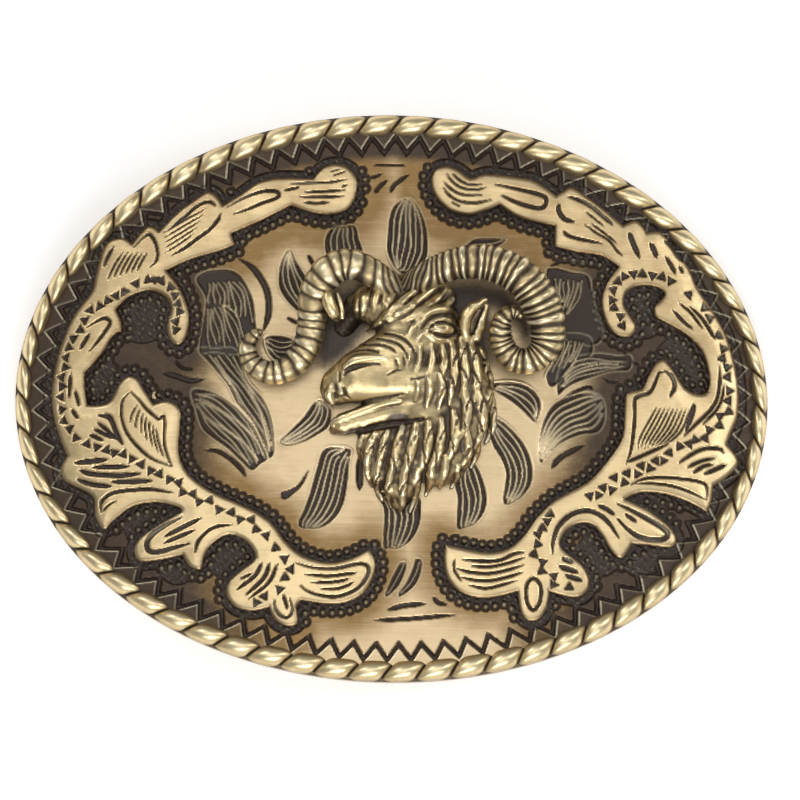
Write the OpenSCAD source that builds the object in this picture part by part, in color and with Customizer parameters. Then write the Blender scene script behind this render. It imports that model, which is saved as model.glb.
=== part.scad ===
// Oval western belt buckle: a bent plate with a rope edge, two raised scrolls and
// a ram's head in high relief, with a swinging strap bail and a belt stud behind.
// The buckle lies on its back: +Z is out of the face, +X is to the wearer's left.

/* [Plate] */
// Width from tip to tip
width = 95; // [80:0.5:110]
// Height of the oval
height = 71.6; // [60:0.2:84]
// Radius the face is bent to, about the up and down axis
bend_r = 170; // [120:1:400]
// Thickness of the plate
plate_t = 2.2; // [1.8:0.1:3]
// Height of the middle of the plate's back above the table
stand_off = 8.8; // [7.5:0.1:12]
// Width of the full-thickness rim around the hollow back
rim_w = 4; // [2:0.5:8]
// Depth of the hollow in the back
hollow = 0.6; // [0.2:0.1:0.9]

/* [Rope edge] */
// Number of rope lobes around the oval
rope_lobes = 60; // [40:1:90]
// Rope width at the top and bottom of the oval
rope_w = 2.4; // [1.6:0.1:3]
// How much narrower the rope is at the two ends
rope_narrow = 0.5; // [0:0.1:1]
// Height of a lobe above the plate
rope_h = 1.35; // [0.8:0.05:2]
// Height left at the joint between two lobes, as a share of the lobe
rope_joint = 0.5; // [0.2:0.05:0.9]
// Slant of the joints across the rope, as a share of a lobe
rope_slant = 0.16; // [0:0.02:0.4]

/* [Scrolls and head] */
// Height of the scrolls above the plate
scroll_h = 1.1; // [0.6:0.1:1.6]
// Radius of the peg that holds each horn in the head
horn_peg_r = 1.1; // [0.8:0.1:1.4]
// Length of the horn peg
horn_peg_l = 2; // [1:0.1:3]

/* [Strap bail] */
// Distance of the bail's hinge line from the middle of the buckle
hinge_x = 17; // [12:0.5:22]
// Height of the hinge line above the table
hinge_z = 2.6; // [2.4:0.1:4]
// Bail wire radius
wire_r = 1.5; // [1.2:0.1:2]
// Clear width of the bail, for the belt strap
strap_w = 40; // [30:0.5:44]
// Distance from the hinge line to the bail's far bar
bail_reach = 18.5; // [14:0.5:24]
// Bend radius of the bail's outer corners
bail_corner = 5; // [3:0.5:8]
// Bend radius where the bail turns into its hinge pins
pin_corner = 2.4; // [2:0.1:4]
// Running gap between a hinge pin and its knuckle
pin_gap = 0.08; // [0.03:0.01:0.1]

/* [Hinge bracket] */
// Length of a knuckle
knuckle_l = 4.6; // [3:0.1:6]
// Knuckle radius
knuckle_r = 2.6; // [2.2:0.1:3]
// Width of the bracket's base along the buckle
bracket_w = 10; // [8:0.5:14]
// Thickness of the bracket's base
bracket_t = 1; // [0.8:0.1:1.5]
// Thickness of the web that carries a knuckle
web_t = 3; // [2:0.5:4]

/* [Belt stud] */
// Distance of the stud from the middle of the buckle
stud_x = 28; // [24:0.5:34]
// Stud shank radius
stud_r = 2.1; // [1.6:0.1:2.5]
// Stud head radius
stud_head_r = 2.9; // [2.4:0.1:3.5]
// Stud head thickness
stud_head_t = 1.6; // [1:0.1:2]
// Radius of the boss the stud is pressed into
boss_r = 4.2; // [3.5:0.1:6]

/* [Screws] */
// Radius of the screws that hold the head
head_screw_r = 1.5; // [1:0.1:2]
// Radius of the screws that hold the hinge bracket
bracket_screw_r = 1.2; // [1:0.1:1.5]
// Washer radius
washer_r = 3.3; // [3:0.1:4]
// Washer thickness
washer_t = 0.5; // [0.4:0.1:0.8]

/* [Hidden] */
$fn = 64;
half_w = width / 2;
half_h = height / 2;
back_r = bend_r - plate_t;             // radius of the plate's back
bend_z = stand_off - back_r;           // height of the bend's axis
edge_in = 0.05;                        // plate edge inside the rope's outer edge
reach = 200;                           // longer than anything it cuts
oval_steps = 144;
leg_y = strap_w / 2 + wire_r;          // middle of a bail leg
knuckle_y = leg_y - pin_corner - 0.7;  // outer end of a knuckle
bracket_l = 2 * knuckle_y + 0.8;
pad_play = 0.5;                        // pads stand out this far around a foot
spot = 0.12;                           // depth of a spot face under a flat part
head_screws_at = [[6.5, 8.5], [6.5, -6.5]];
bracket_screws_at = [[hinge_x, 6], [hinge_x, -6]];
screw_pad_r = washer_r + 1;
head_screw_l = 2.6;                    // screw length inside the ram's head
bracket_screw_l = 1.5;                 // screw length inside the plate
boss_z = bend_z + sqrt(pow(back_r, 2) - pow(stud_x + boss_r, 2)) - 0.1;
stud_bore = 2.4;
// angle the bail drops by to lie with its far bar on the table
bail_drop = asin((hinge_z - wire_r) / bail_reach);

brass = [0.80, 0.70, 0.46];
bright = [0.88, 0.80, 0.56];
antique = [0.55, 0.46, 0.30];
steel = [0.70, 0.68, 0.62];

// ---------- helpers ----------

function unit(v) = v / norm(v);

// Tangent at point i of a list; [x, y, 1] marks a sharp corner, which has none.
function slope(p, i, n) = len(p[i]) > 2 ? [0, 0]
    : [p[(i + 1) % n].x - p[(i + n - 1) % n].x,
       p[(i + 1) % n].y - p[(i + n - 1) % n].y] / 2;

// Cubic between two points with their tangents.
function cubic(a, b, ta, tb, t) =
    (2 * pow(t, 3) - 3 * pow(t, 2) + 1) * a + (pow(t, 3) - 2 * pow(t, 2) + t) * ta
    + (3 * pow(t, 2) - 2 * pow(t, 3)) * b + (pow(t, 3) - pow(t, 2)) * tb;

// Closed smooth outline through hand-placed points.
function outline(p, steps = 3) = let (n = len(p)) [
    for (i = [0 : n - 1], k = [0 : steps - 1])
        let (j = (i + 1) % n, a = [p[i].x, p[i].y], b = [p[j].x, p[j].y],
             ta = slope(p, i, n), tb = slope(p, j, n),
             flat = len(p[i]) > 2 && len(p[j]) > 2)
        if (k == 0 || !flat) cubic(a, b, ta, tb, k / steps)];

// Open smooth path through [x, y, z, radius] points.
function tangent(p, i) = i == 0 ? p[1] - p[0]
    : i == len(p) - 1 ? p[i] - p[i - 1] : (p[i + 1] - p[i - 1]) / 2;
function path(p, steps = 4) = [
    for (i = [0 : len(p) - 2], k = [0 : steps - 1])
        cubic(p[i], p[i + 1], tangent(p, i), tangent(p, i + 1), k / steps),
    p[len(p) - 1]];
function place(q) = [q.x, q.y, q.z];

// Closed tube around a path, its radius in each point's fourth value.
module tube(q, sides = 12) {
    n = len(q);
    rings = [for (i = [0 : n - 1])
        let (ahead = unit(place(q[min(i + 1, n - 1)]) - place(q[max(i - 1, 0)])),
             side = unit(cross(ahead, [0, 0, 1])), up = cross(side, ahead))
        for (k = [0 : sides - 1])
            place(q[i]) + q[i][3] * (cos(360 * k / sides) * side
                                     + sin(360 * k / sides) * up)];
    skin = [for (i = [0 : n - 2], k = [0 : sides - 1]) let (m = (k + 1) % sides)
        each [[i * sides + k, (i + 1) * sides + m, (i + 1) * sides + k],
              [i * sides + k, i * sides + m, (i + 1) * sides + m]]];
    first = [[for (k = [sides - 1 : -1 : 0]) k]];
    last = [[for (k = [0 : sides - 1]) (n - 1) * sides + k]];
    polyhedron(rings, concat(skin, first, last));
}

// Height of the bent surface of radius r above the table.
function bent_z(x, r) = bend_z + sqrt(pow(r, 2) - pow(x, 2));

// Shell between two radii of the bend.
module shell(inner, outer) {
    translate([0, reach / 2, bend_z]) rotate([90, 0, 0])
        difference() {
            cylinder(r = outer, h = reach, $fn = 256);
            translate([0, 0, -1]) cylinder(r = inner, h = reach + 2, $fn = 256);
        }
}

// Everything above the table that stands on an outline.
module column(points) linear_extrude(40) polygon(points);
module oval_column(inset)
    column([for (i = [0 : oval_steps - 1])
        [(half_w - inset) * cos(360 * i / oval_steps),
         (half_h - inset) * sin(360 * i / oval_steps)]]);

// Local frame on the back: origin on the surface, +Z into the plate.
module on_back(at) {
    lean = asin(at.x / back_r);
    translate([0, at.y, bend_z]) rotate([0, lean, 0]) translate([0, 0, back_r]) children();
}

// Pan-head screw with its shank along +Z and the head's seat at z = 0.
module pan_screw(r, shank) {
    head_r = 1.85 * r;
    head_t = 1.1 * r;
    slot_w = 0.5 * r;
    cylinder(r = r, h = shank);
    difference() {
        translate([0, 0, -head_t])
            rotate_extrude()
                polygon([[0, 0], [head_r * 0.72, 0], [head_r, head_t * 0.45],
                         [head_r, head_t], [0, head_t]]);
        translate([-head_r - 1, -slot_w / 2, -head_t - 1])
            cube([2 * head_r + 2, slot_w, 1 + head_t * 0.5]);
    }
}

// ---------- plate and edge ----------

module face_plate() color(antique) difference() {
    union() {
        difference() {
            intersection() {
                shell(back_r, bend_r);
                oval_column(edge_in);
            }
            // hollow back, with pads left where parts are fastened
            difference() {
                intersection() {
                    shell(back_r - 1, back_r + hollow);
                    oval_column(rim_w);
                }
                translate([hinge_x - bracket_w / 2 - pad_play, -bracket_l / 2 - pad_play, 0])
                    cube([bracket_w + 2 * pad_play, bracket_l + 2 * pad_play, 20]);
                for (at = head_screws_at)
                    translate([at.x, at.y, 0]) cylinder(r = screw_pad_r, h = 20);
            }
        }
        translate([-stud_x, 0, boss_z])
            cylinder(r = boss_r, h = bent_z(stud_x, back_r) + 1 - boss_z);
    }
    translate([-stud_x, 0, boss_z - 1]) cylinder(r = stud_r, h = stud_bore + 1);
    for (at = head_screws_at) on_back(at) {
        translate([0, 0, -1]) cylinder(r = washer_r + 0.2, h = 1 + spot);
        translate([0, 0, -1]) cylinder(r = head_screw_r + 0.1, h = plate_t + 2);
    }
    for (at = bracket_screws_at) on_back(at)
        translate([0, 0, -1]) cylinder(r = bracket_screw_r, h = 1 + bracket_screw_l);
}

// Running length around the rope's line, as [length, angle] pairs.
function rope_length(steps = 360) = [
    for (i = 0, s = 0; i <= steps;
         s = s + norm([half_w * (cos(360 * (i + 1) / steps) - cos(360 * i / steps)),
                       half_h * (sin(360 * (i + 1) / steps) - sin(360 * i / steps))]),
         i = i + 1)
        [s, 360 * i / steps]];

module rope_border() color(bright) {
    per_lobe = 5;
    arch = 7;                             // points over the half-round section
    n = rope_lobes * per_lobe;
    table = rope_length();
    total = table[len(table) - 1][0];
    points = [for (i = [0 : n - 1])
        let (u = lookup(total * i / n, table),
             out = unit([cos(u) / half_w, sin(u) / half_h]),
             half = (rope_w - rope_narrow * pow(cos(u), 4)) / 2,
             mid = [half_w * cos(u), half_h * sin(u)] - half * out)
        for (k = [0 : arch])
            let (t = -cos(180 * k / arch),
                 turn = i / per_lobe + rope_slant * t,
                 lobe = pow(abs(sin(180 * turn)), 0.5),
                 place = mid + out * half * t * (t > 0 ? 1 : 0.75 + 0.25 * lobe),
                 rise = rope_h * (rope_joint + (1 - rope_joint) * lobe))
            [place.x, place.y, bent_z(place.x, bend_r) - 0.02 + rise * sin(180 * k / arch)]];
    m = arch + 1;
    faces = [for (i = [0 : n - 1], k = [0 : arch])
        let (a = i * m, b = ((i + 1) % n) * m, q = (k + 1) % m)
        each [[a + k, b + k, b + q], [a + k, b + q, a + q]]];
    polyhedron(points, faces);
}

// ---------- scrolls ----------

// Left scroll, from its round head along the outer edge to the lined end lobe.
scroll_left_points = [
    [-4.7, 27], [-5.7, 28.8], [-7.4, 29.4], [-9.1, 28.9], [-10.3, 27.5, 1], [-12.7, 27.6],
    [-15.2, 27.5], [-17.3, 26.9], [-19.3, 25.5], [-21.6, 24.1, 1], [-22.4, 25.2],
    [-23.5, 25.8], [-25, 24.9], [-27.2, 23.3], [-29.6, 20.8, 1], [-30.4, 21.4],
    [-31.4, 21.2], [-33, 19.2, 1], [-34, 19.9], [-35.4, 19.8], [-36.6, 18.7], [-37.4, 15.8],
    [-38, 13.2], [-39.4, 11.3], [-40.9, 8.7], [-42.1, 5.2], [-42.8, 1.2], [-42.6, -2],
    [-41.8, -5], [-40.7, -7.6, 1], [-41.5, -9.2], [-40.9, -10.8], [-38.4, -12],
    [-37.2, -13], [-37, -15.2], [-35.9, -16.9], [-34.7, -15.8], [-32.3, -14],
    [-29.2, -13.5], [-26.5, -14.1], [-26.2, -14.7, 1], [-28.9, -16.3], [-31.2, -17.9],
    [-32, -19.4], [-31.3, -20.9], [-28.6, -20.7], [-25.9, -20.1, 1], [-25.1, -21.4],
    [-24.2, -21.9], [-23.5, -21.8], [-23.2, -20.4], [-22.3, -18.8], [-20.1, -17.5],
    [-17.8, -18.4], [-16.7, -20.4], [-18.4, -21.9], [-20, -23.4], [-20.3, -25],
    [-19.1, -26.6], [-16.9, -27.1], [-14.9, -26.6, 1], [-14.2, -28.1], [-12.6, -29],
    [-11.3, -28.5], [-11.5, -26.6], [-10.9, -25.7, 1], [-8, -26.1], [-5.3, -25.9],
    [-3, -24.6], [-1.8, -22.2], [-1.8, -20.4], [-2.5, -19.2, 1], [-4.6, -20.3],
    [-7.6, -20.9], [-10.8, -20.1], [-13, -18.3], [-15, -15.8], [-18, -14], [-22, -12.3],
    [-25.3, -10], [-26.6, -7.2], [-26.5, -3.8], [-26.6, -1.7], [-28.1, -0.7],
    [-29.9, -1.1, 1], [-31.1, 0.7], [-32.1, 2.2], [-33.3, 2.4], [-34.4, 1.3],
    [-35.3, -0.6], [-36.6, -1.2], [-38.3, -1.2, 1], [-38.7, 1.5], [-38.7, 2.9, 1],
    [-36.6, 5.3], [-35.2, 7.6], [-34.1, 8.1, 1], [-34.2, 9.4], [-34.9, 10.9, 1],
    [-33.3, 12.5], [-30.7, 13.3], [-28.7, 12.5], [-27.9, 11], [-28.4, 8.8],
    [-28, 7.1], [-27, 6.4], [-26, 7.3], [-25.6, 9.7], [-26.2, 12.2], [-27.4, 14.4],
    [-28.6, 15.8, 1], [-25.6, 17.2], [-21.9, 18.3], [-20, 19.1, 1], [-20.5, 20.5, 1],
    [-17.1, 22], [-13, 24.1, 1], [-10.4, 23.2], [-7.6, 23], [-5.5, 24.1]];

// Right scroll, the same way round as it grows; it is a freehand twin, not a mirror image.
scroll_right_points = [
    [4.5, 27.3], [5.1, 28.9], [6.5, 29.4], [8, 28.9], [9.5, 27.9], [11.3, 28.5],
    [14.2, 28.3], [17.2, 27.9], [19, 26.9], [20.3, 26, 1], [21.2, 26.6], [22.3, 27.1],
    [24.4, 25.8], [26.6, 24.2], [28.8, 22.5, 1], [30.2, 23.2], [31.2, 22.6],
    [31.8, 21.7, 1], [33.5, 21.8], [35.2, 19.9], [37.2, 17.3], [38.2, 15.1], [40, 12.5],
    [41.8, 9.6], [43, 6.2], [43.7, 2.2], [43.6, -1.2], [42.8, -3.3], [42.3, -4.7, 1],
    [43.5, -6.1], [43.7, -7.3], [42.4, -8.8], [40.7, -10, 1], [40.4, -12.2],
    [39.9, -13.4, 1], [37.6, -12.2], [34.6, -11.3], [31.5, -11.2], [29.5, -12.1, 1],
    [32.3, -13.3], [35, -15.2], [36.1, -16.9], [35.4, -18], [32.6, -17.8],
    [30.5, -17.7, 1], [30, -18.6], [29.1, -19.6], [27.8, -18.5], [26.7, -16.7],
    [25.4, -15.4], [23.6, -15.4], [22.1, -16.4], [21.4, -18], [22.3, -19.1],
    [24.2, -20.5], [25.2, -22.4], [24.8, -24], [23.2, -24.7], [20.2, -24, 1],
    [19.9, -26], [19.1, -27.4], [17.8, -27.8], [16.7, -26.8], [16.2, -24.1, 1],
    [13.8, -24.8], [11.2, -25], [8.8, -24.2], [7.3, -22.3], [6.9, -20],
    [7.1, -18.4, 1], [9.5, -18.9], [12.4, -19.3], [15, -18.7], [17, -16.9],
    [18.6, -14.6], [21, -12.3], [24.8, -10.1], [27.3, -7.3], [29.1, -4.3],
    [29.3, -1], [29.6, 1.3], [31.5, 1.9], [32.2, 3.4], [33.2, 5.2], [34.2, 5.7],
    [35.4, 4.4], [36.8, 2.3], [38.4, 1.5], [39.8, 1.9], [39.9, 4.2], [38.9, 7.1],
    [36.8, 9.1], [34.3, 10.4, 1], [33, 11.2], [33, 12.5], [34.2, 13.8], [33.3, 14.8],
    [31, 14.9], [29.4, 14.1], [29, 12.6], [29.8, 11.2], [30.6, 9.8], [30, 8.5],
    [28.4, 8.5], [26.9, 10], [26.2, 12.7], [26.9, 15.2], [28.3, 17.2, 1],
    [26.2, 18.5], [23, 18.9], [20.2, 19.5, 1], [20.2, 22.1, 1], [17, 22.7],
    [15, 23.4], [13.2, 24.6, 1], [11.2, 23.7], [9.2, 23.2], [6.9, 23.8], [5.2, 25.4]];

module scroll(points) color(brass) intersection() {
    shell(bend_r, bend_r + scroll_h);
    column(outline(points));
}
module scroll_left() scroll(scroll_left_points);
module scroll_right() scroll(scroll_right_points);

// ---------- ram's head ----------

// Horn centre lines as [x, y, z, radius], from the root to the tip.
horn_left_points = [
    [-1.6, 14.6, 15.6, 1.7], [-3.8, 15.8, 16, 1.85], [-6.2, 16.2, 16, 2], [-8.5, 14.9, 15.6, 2.1],
    [-9.9, 12.2, 15, 1.95], [-10.2, 9, 14.3, 1.8], [-10.8, 6, 13.8, 1.75],
    [-12.6, 3.6, 13.4, 1.65], [-15.2, 2.7, 13.2, 1.5], [-17.4, 3.7, 13, 1.35],
    [-18.2, 5.8, 12.8, 1.1], [-17.4, 7.4, 12.6, 0.8], [-16.3, 8.1, 12.4, 0.35]];
horn_right_points = [
    [4.4, 15, 16, 1.7], [6.6, 16.1, 16.6, 1.95], [9.4, 16.7, 17.1, 2.2], [12.7, 16.4, 17.2, 2.35],
    [15.9, 14.9, 17, 2.45], [18.2, 12.2, 16.5, 2.45], [19.3, 9.2, 15.8, 2.3],
    [19.2, 6.4, 15.1, 2.05], [17.5, 4.7, 14.7, 1.75], [15.3, 4.8, 14.5, 1.65],
    [14, 6.4, 14.4, 1.6], [13.8, 8.4, 14.3, 1.45], [13.9, 10.2, 14.1, 1], [13.7, 11.3, 14, 0.4]];

// Frame at a horn's root: +Z leaves the head along the horn.
module at_root(p) {
    way = unit(place(p[1]) - place(p[0]));
    translate(place(p[0])) rotate([0, acos(way.z), atan2(way.y, way.x)]) children();
}

module ball(x, y, z, r, n = 22) translate([x, y, z]) sphere(r = r, $fn = n);

module ram_head() color(brass) difference() {
    union() {
        hull() { ball(4.6, 10.2, 14, 4.2); ball(-0.6, 11.8, 14, 3.3); ball(5.2, 7.6, 15, 3.4); }
        hull() { ball(5.2, 7.6, 15, 3.4); ball(4.6, 2.6, 14, 3.4); ball(-5.8, 1.3, 14.8, 2.5); }
        hull() { ball(-5.4, -1.7, 13.3, 1.1, 18); ball(2, -0.8, 13, 1.5, 18); }
        hull() { ball(7.6, 8, 12.5, 4, 18); ball(8.3, -2.5, 12.2, 3.8, 18); ball(2, -5, 12, 2.8, 18); }
        hull() { ball(7.4, -5.5, 12, 3.2, 18); ball(0.6, -7, 11.6, 2.4, 18);
                 ball(1.9, -12.2, 11.2, 1.6, 18); }
        // ears
        hull() { ball(9.3, 8, 14.6, 0.9, 18); ball(10, 10.6, 15, 0.9, 18); ball(11.4, 12, 15.2, 0.5, 18); }
        hull() { ball(-2.4, 9.6, 13.4, 1.4, 18); ball(-6.8, 11.9, 14.4, 0.7, 18); }
        // seats of the horns
        for (p = [horn_left_points, horn_right_points])
            at_root(p) translate([0, 0, -3]) cylinder(r = p[0][3], h = 3, $fn = 32);
    }
    // underside follows the bent plate
    translate([0, reach / 2, bend_z]) rotate([90, 0, 0]) cylinder(r = bend_r, h = reach, $fn = 256);
    for (p = [horn_left_points, horn_right_points]) at_root(p) {
        cylinder(r = p[0][3] + 0.6, h = 6, $fn = 32);
        translate([0, 0, -horn_peg_l]) cylinder(r = horn_peg_r, h = horn_peg_l + 1, $fn = 32);
    }
    for (at = head_screws_at) on_back(at)
        cylinder(r = head_screw_r, h = plate_t + head_screw_l);
}

module horn(p) color(bright) {
    tube(path(p));
    at_root(p) translate([0, 0, -horn_peg_l]) cylinder(r = horn_peg_r, h = horn_peg_l + 0.4, $fn = 32);
}
module horn_left() horn(horn_left_points);
module horn_right() horn(horn_right_points);

// ---------- fastenings ----------

module head_screws() color(steel)
    for (at = head_screws_at) on_back(at)
        translate([0, 0, spot - washer_t])
            pan_screw(head_screw_r, plate_t + head_screw_l - spot + washer_t - 0.2);

module head_screw_washers() color(steel)
    for (at = head_screws_at) on_back(at) translate([0, 0, spot - washer_t])
        difference() {
            cylinder(r = washer_r, h = washer_t);
            translate([0, 0, -1]) cylinder(r = head_screw_r + 0.1, h = washer_t + 2);
        }

module bracket_screws() color(steel)
    for (at = bracket_screws_at) on_back(at)
        translate([0, 0, spot - bracket_t])
            pan_screw(bracket_screw_r, bracket_t - spot + bracket_screw_l - 0.2);

// ---------- strap bail ----------

module hinge_bracket() color(brass) difference() {
    union() {
        intersection() {
            shell(back_r - bracket_t, back_r);
            translate([hinge_x - bracket_w / 2, -bracket_l / 2, 0])
                cube([bracket_w, bracket_l, 20]);
        }
        for (side = [-1, 1]) translate([hinge_x, side * (knuckle_y - knuckle_l / 2), 0]) {
            translate([0, knuckle_l / 2, hinge_z]) rotate([90, 0, 0])
                cylinder(r = knuckle_r, h = knuckle_l);
            translate([-web_t / 2, -knuckle_l / 2, hinge_z])
                cube([web_t, knuckle_l, bent_z(hinge_x + web_t / 2, back_r - 0.3) - hinge_z]);
        }
    }
    translate([hinge_x, reach / 2, hinge_z]) rotate([90, 0, 0])
        cylinder(r = wire_r + pin_gap, h = reach);
    for (at = bracket_screws_at) on_back(at) {
        translate([0, 0, -bracket_t - 1]) cylinder(r = bracket_screw_r + 0.1, h = bracket_t + 2);
        translate([0, 0, -bracket_t - 2])
            cylinder(r = 1.85 * bracket_screw_r + 0.3, h = 2 + spot);
    }
}

// Quarter bend of the bail wire, from the +Y way to the +X way around its centre.
module wire_bend(r) rotate_extrude(angle = 90) translate([r, 0]) circle(r = wire_r, $fn = 48);
module wire_run(l) cylinder(r = wire_r, h = l, $fn = 48);

module bail_half() {
    // hinge pin, its bend, the leg, the outer bend and half of the far bar
    pin_end = knuckle_y - knuckle_l - 0.5;
    translate([0, pin_end, 0]) rotate([-90, 0, 0]) wire_run(leg_y - pin_corner - pin_end);
    translate([pin_corner, leg_y - pin_corner, 0]) rotate([0, 0, 90]) wire_bend(pin_corner);
    translate([pin_corner, leg_y, 0]) rotate([0, 90, 0])
        wire_run(bail_reach - bail_corner - pin_corner);
    translate([bail_reach - bail_corner, leg_y - bail_corner, 0]) wire_bend(bail_corner);
    translate([bail_reach, 0, 0]) rotate([-90, 0, 0]) wire_run(leg_y - bail_corner);
}

module bail_loop() color(brass)
    translate([hinge_x, 0, hinge_z]) rotate([0, bail_drop, 0]) {
        bail_half();
        mirror([0, 1, 0]) bail_half();
    }

// ---------- belt stud ----------

module belt_stud() color(bright) translate([-stud_x, 0, 0]) {
    cylinder(r = stud_r, h = boss_z + stud_bore);
    rotate_extrude()
        polygon([[0, 0], [stud_head_r - 0.4, 0], [stud_head_r, 0.4],
                 [stud_head_r, stud_head_t], [0, stud_head_t + 0.5]]);
}

face_plate();
rope_border();
scroll_left();
scroll_right();
ram_head();
horn_left();
horn_right();
head_screws();
head_screw_washers();
hinge_bracket();
bracket_screws();
bail_loop();
belt_stud();
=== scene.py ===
"""Looks of an oval western belt buckle: engraved plate, rope edge, scrolls, ram's head and horns."""
import logging
import math
from dataclasses import dataclass, field
from enum import Enum
from typing import Iterable, Sequence

import bpy
import numpy as np
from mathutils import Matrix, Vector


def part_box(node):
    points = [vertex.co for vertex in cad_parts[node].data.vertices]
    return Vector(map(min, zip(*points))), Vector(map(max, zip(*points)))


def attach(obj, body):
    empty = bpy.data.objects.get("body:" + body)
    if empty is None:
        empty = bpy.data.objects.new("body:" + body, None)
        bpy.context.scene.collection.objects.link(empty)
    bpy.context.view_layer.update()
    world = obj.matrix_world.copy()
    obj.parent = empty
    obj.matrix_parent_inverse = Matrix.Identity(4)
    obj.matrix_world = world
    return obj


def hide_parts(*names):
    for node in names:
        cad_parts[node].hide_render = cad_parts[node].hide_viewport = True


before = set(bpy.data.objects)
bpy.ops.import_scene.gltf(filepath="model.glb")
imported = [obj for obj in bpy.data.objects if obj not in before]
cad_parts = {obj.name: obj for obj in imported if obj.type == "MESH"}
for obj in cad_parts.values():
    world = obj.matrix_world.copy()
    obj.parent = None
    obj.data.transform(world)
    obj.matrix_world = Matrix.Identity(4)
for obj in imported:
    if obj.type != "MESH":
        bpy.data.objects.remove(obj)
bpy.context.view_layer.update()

import openvdb
from mathutils import Matrix, Vector

log = logging.getLogger("buckle")
MM = 0.001

Points = Sequence[Sequence[float]]
Array = np.ndarray
Stroke = tuple[float, ...]
Place = tuple[float, float, float]
Colour = tuple[float, float, float, float]
Window = tuple[slice, slice]
Piece = bpy.types.Object
Tree = bpy.types.NodeTree
Socket = bpy.types.NodeSocket


# ---------- sizes shared by all pieces, in millimetres ----------

def node_high(node: str) -> Array:
    """Highest corner of a CAD node in millimetres."""
    return np.array(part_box(node)[1]) / MM


HALF_W, HALF_H = (float(value) for value in node_high("rope_border")[:2])

# The face is bent about a line along Y: the bend's radius, and the height of that line.
BEND_R = 170.0
BEND_Z = float(node_high("face_plate")[2]) - BEND_R

# The part of the unwrapped sheet that a piece fills, and the margin round it.
UV_ROOM = 0.96
UV_EDGE = 0.02

WHOLE = (slice(None), slice(None))


def bent(x: Array | float, radius: float = BEND_R) -> Array:
    """Height above the table of the bent surface of that radius."""
    return BEND_Z + np.sqrt(radius ** 2 - np.square(x))


# ---------- curves ----------

def spline(points: Points, steps: int = 6, closed: bool = False) -> Array:
    """Smooth curve through given points.

    Args:
        points: Points of any dimension.
        steps: Pieces per span.
        closed: Whether the curve joins up with its start.

    Returns:
        The curve's points, one per row.
    """
    p = np.asarray(points, float)
    n = len(p)
    if n == 2 and not closed:
        return p[0] + (p[1] - p[0]) * np.linspace(0, 1, steps + 1)[:, None]
    if closed:
        ring = np.vstack([p[-1], p, p[:2]])
    else:
        ring = np.vstack([2 * p[0] - p[1], p, 2 * p[-1] - p[-2]])
    t = np.linspace(0, 1, steps, endpoint=False)[:, None]
    out = []
    for i in range(1, len(ring) - 2):
        a, b, c, d = ring[i - 1:i + 3]
        out.append(0.5 * (2 * b + (c - a) * t + (2 * a - 5 * b + 4 * c - d) * t ** 2
                          + (3 * b - a - 3 * c + d) * t ** 3))
    if not closed:
        out.append(p[-1:])
    return np.vstack(out)


def length_along(path: Array, closed: bool = False) -> Array:
    """Running length at each point of a path.

    Args:
        path: Points, one per row.
        closed: Whether the path joins up, which adds its whole length at the end.

    Returns:
        One length per point.
    """
    q = np.vstack([path, path[:1]]) if closed else path
    return np.concatenate([[0], np.cumsum(np.linalg.norm(np.diff(q, axis=0), axis=1))])


def evenly(path: Array, pitch: float, closed: bool = False) -> Array:
    """Places points along a path again, at an even pitch close to the one asked for.

    Args:
        path: Points of any dimension, one per row.
        pitch: Distance between points.
        closed: Whether the path joins up.

    Returns:
        The new points.
    """
    q = np.vstack([path, path[:1]]) if closed else path
    s = length_along(q)
    n = max(2, int(round(s[-1] / pitch)))
    at = np.linspace(0, s[-1], n, endpoint=False) if closed else np.linspace(0, s[-1], n + 1)
    return np.column_stack([np.interp(at, s, values) for values in q.T])


def fan(first: Points, last: Points, count: int, pitch: float = 0.25) -> list[Array]:
    """Curves that change evenly from the first to the last.

    Args:
        first: Points of the first curve.
        last: Points of the last curve.
        count: How many curves there are, both of those among them.
        pitch: Distance between the points of a curve.

    Returns:
        The points of each curve.
    """
    a, b = (evenly(spline(p), pitch) for p in (first, last))
    share = np.linspace(0, 1, max(len(a), len(b)))
    a, b = (np.column_stack([np.interp(share, np.linspace(0, 1, len(c)), values) for values in c.T])
            for c in (a, b))
    return [a + (b - a) * t for t in np.linspace(0, 1, count)]


def smooth(low: float, high: float, value: Array) -> Array:
    """Smooth step from 0 at low to 1 at high."""
    t = np.clip((value - low) / (high - low), 0, 1)
    return t * t * (3 - 2 * t)


def oval(inset: float, count: int = 720) -> Array:
    """Points on the buckle's oval moved in by a distance, anticlockwise."""
    u = np.linspace(0, 2 * np.pi, count, endpoint=False)
    p = np.column_stack([HALF_W * np.cos(u), HALF_H * np.sin(u)])
    out = np.column_stack([np.cos(u) / HALF_W, np.sin(u) / HALF_H])
    return p - inset * out / np.linalg.norm(out, axis=1)[:, None]


def noise(x: Array, y: Array, scale: float, seed: float) -> Array:
    """Cheap smooth noise from a few crossed waves.

    Args:
        x: Where along the first axis.
        y: Where along the second axis.
        scale: Size of the waves.
        seed: Shifts the waves, so that two noises differ.

    Returns:
        Values between -1 and 1.
    """
    a = np.sin(x * 1.7 / scale + 3.1 * seed) * np.cos(y * 2.3 / scale - seed)
    b = np.sin((x + y) * 2.9 / scale + 1.3 * seed) * np.cos((x - y) * 1.1 / scale + seed)
    return 0.5 * (a + b)


# ---------- height fields ----------

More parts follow.
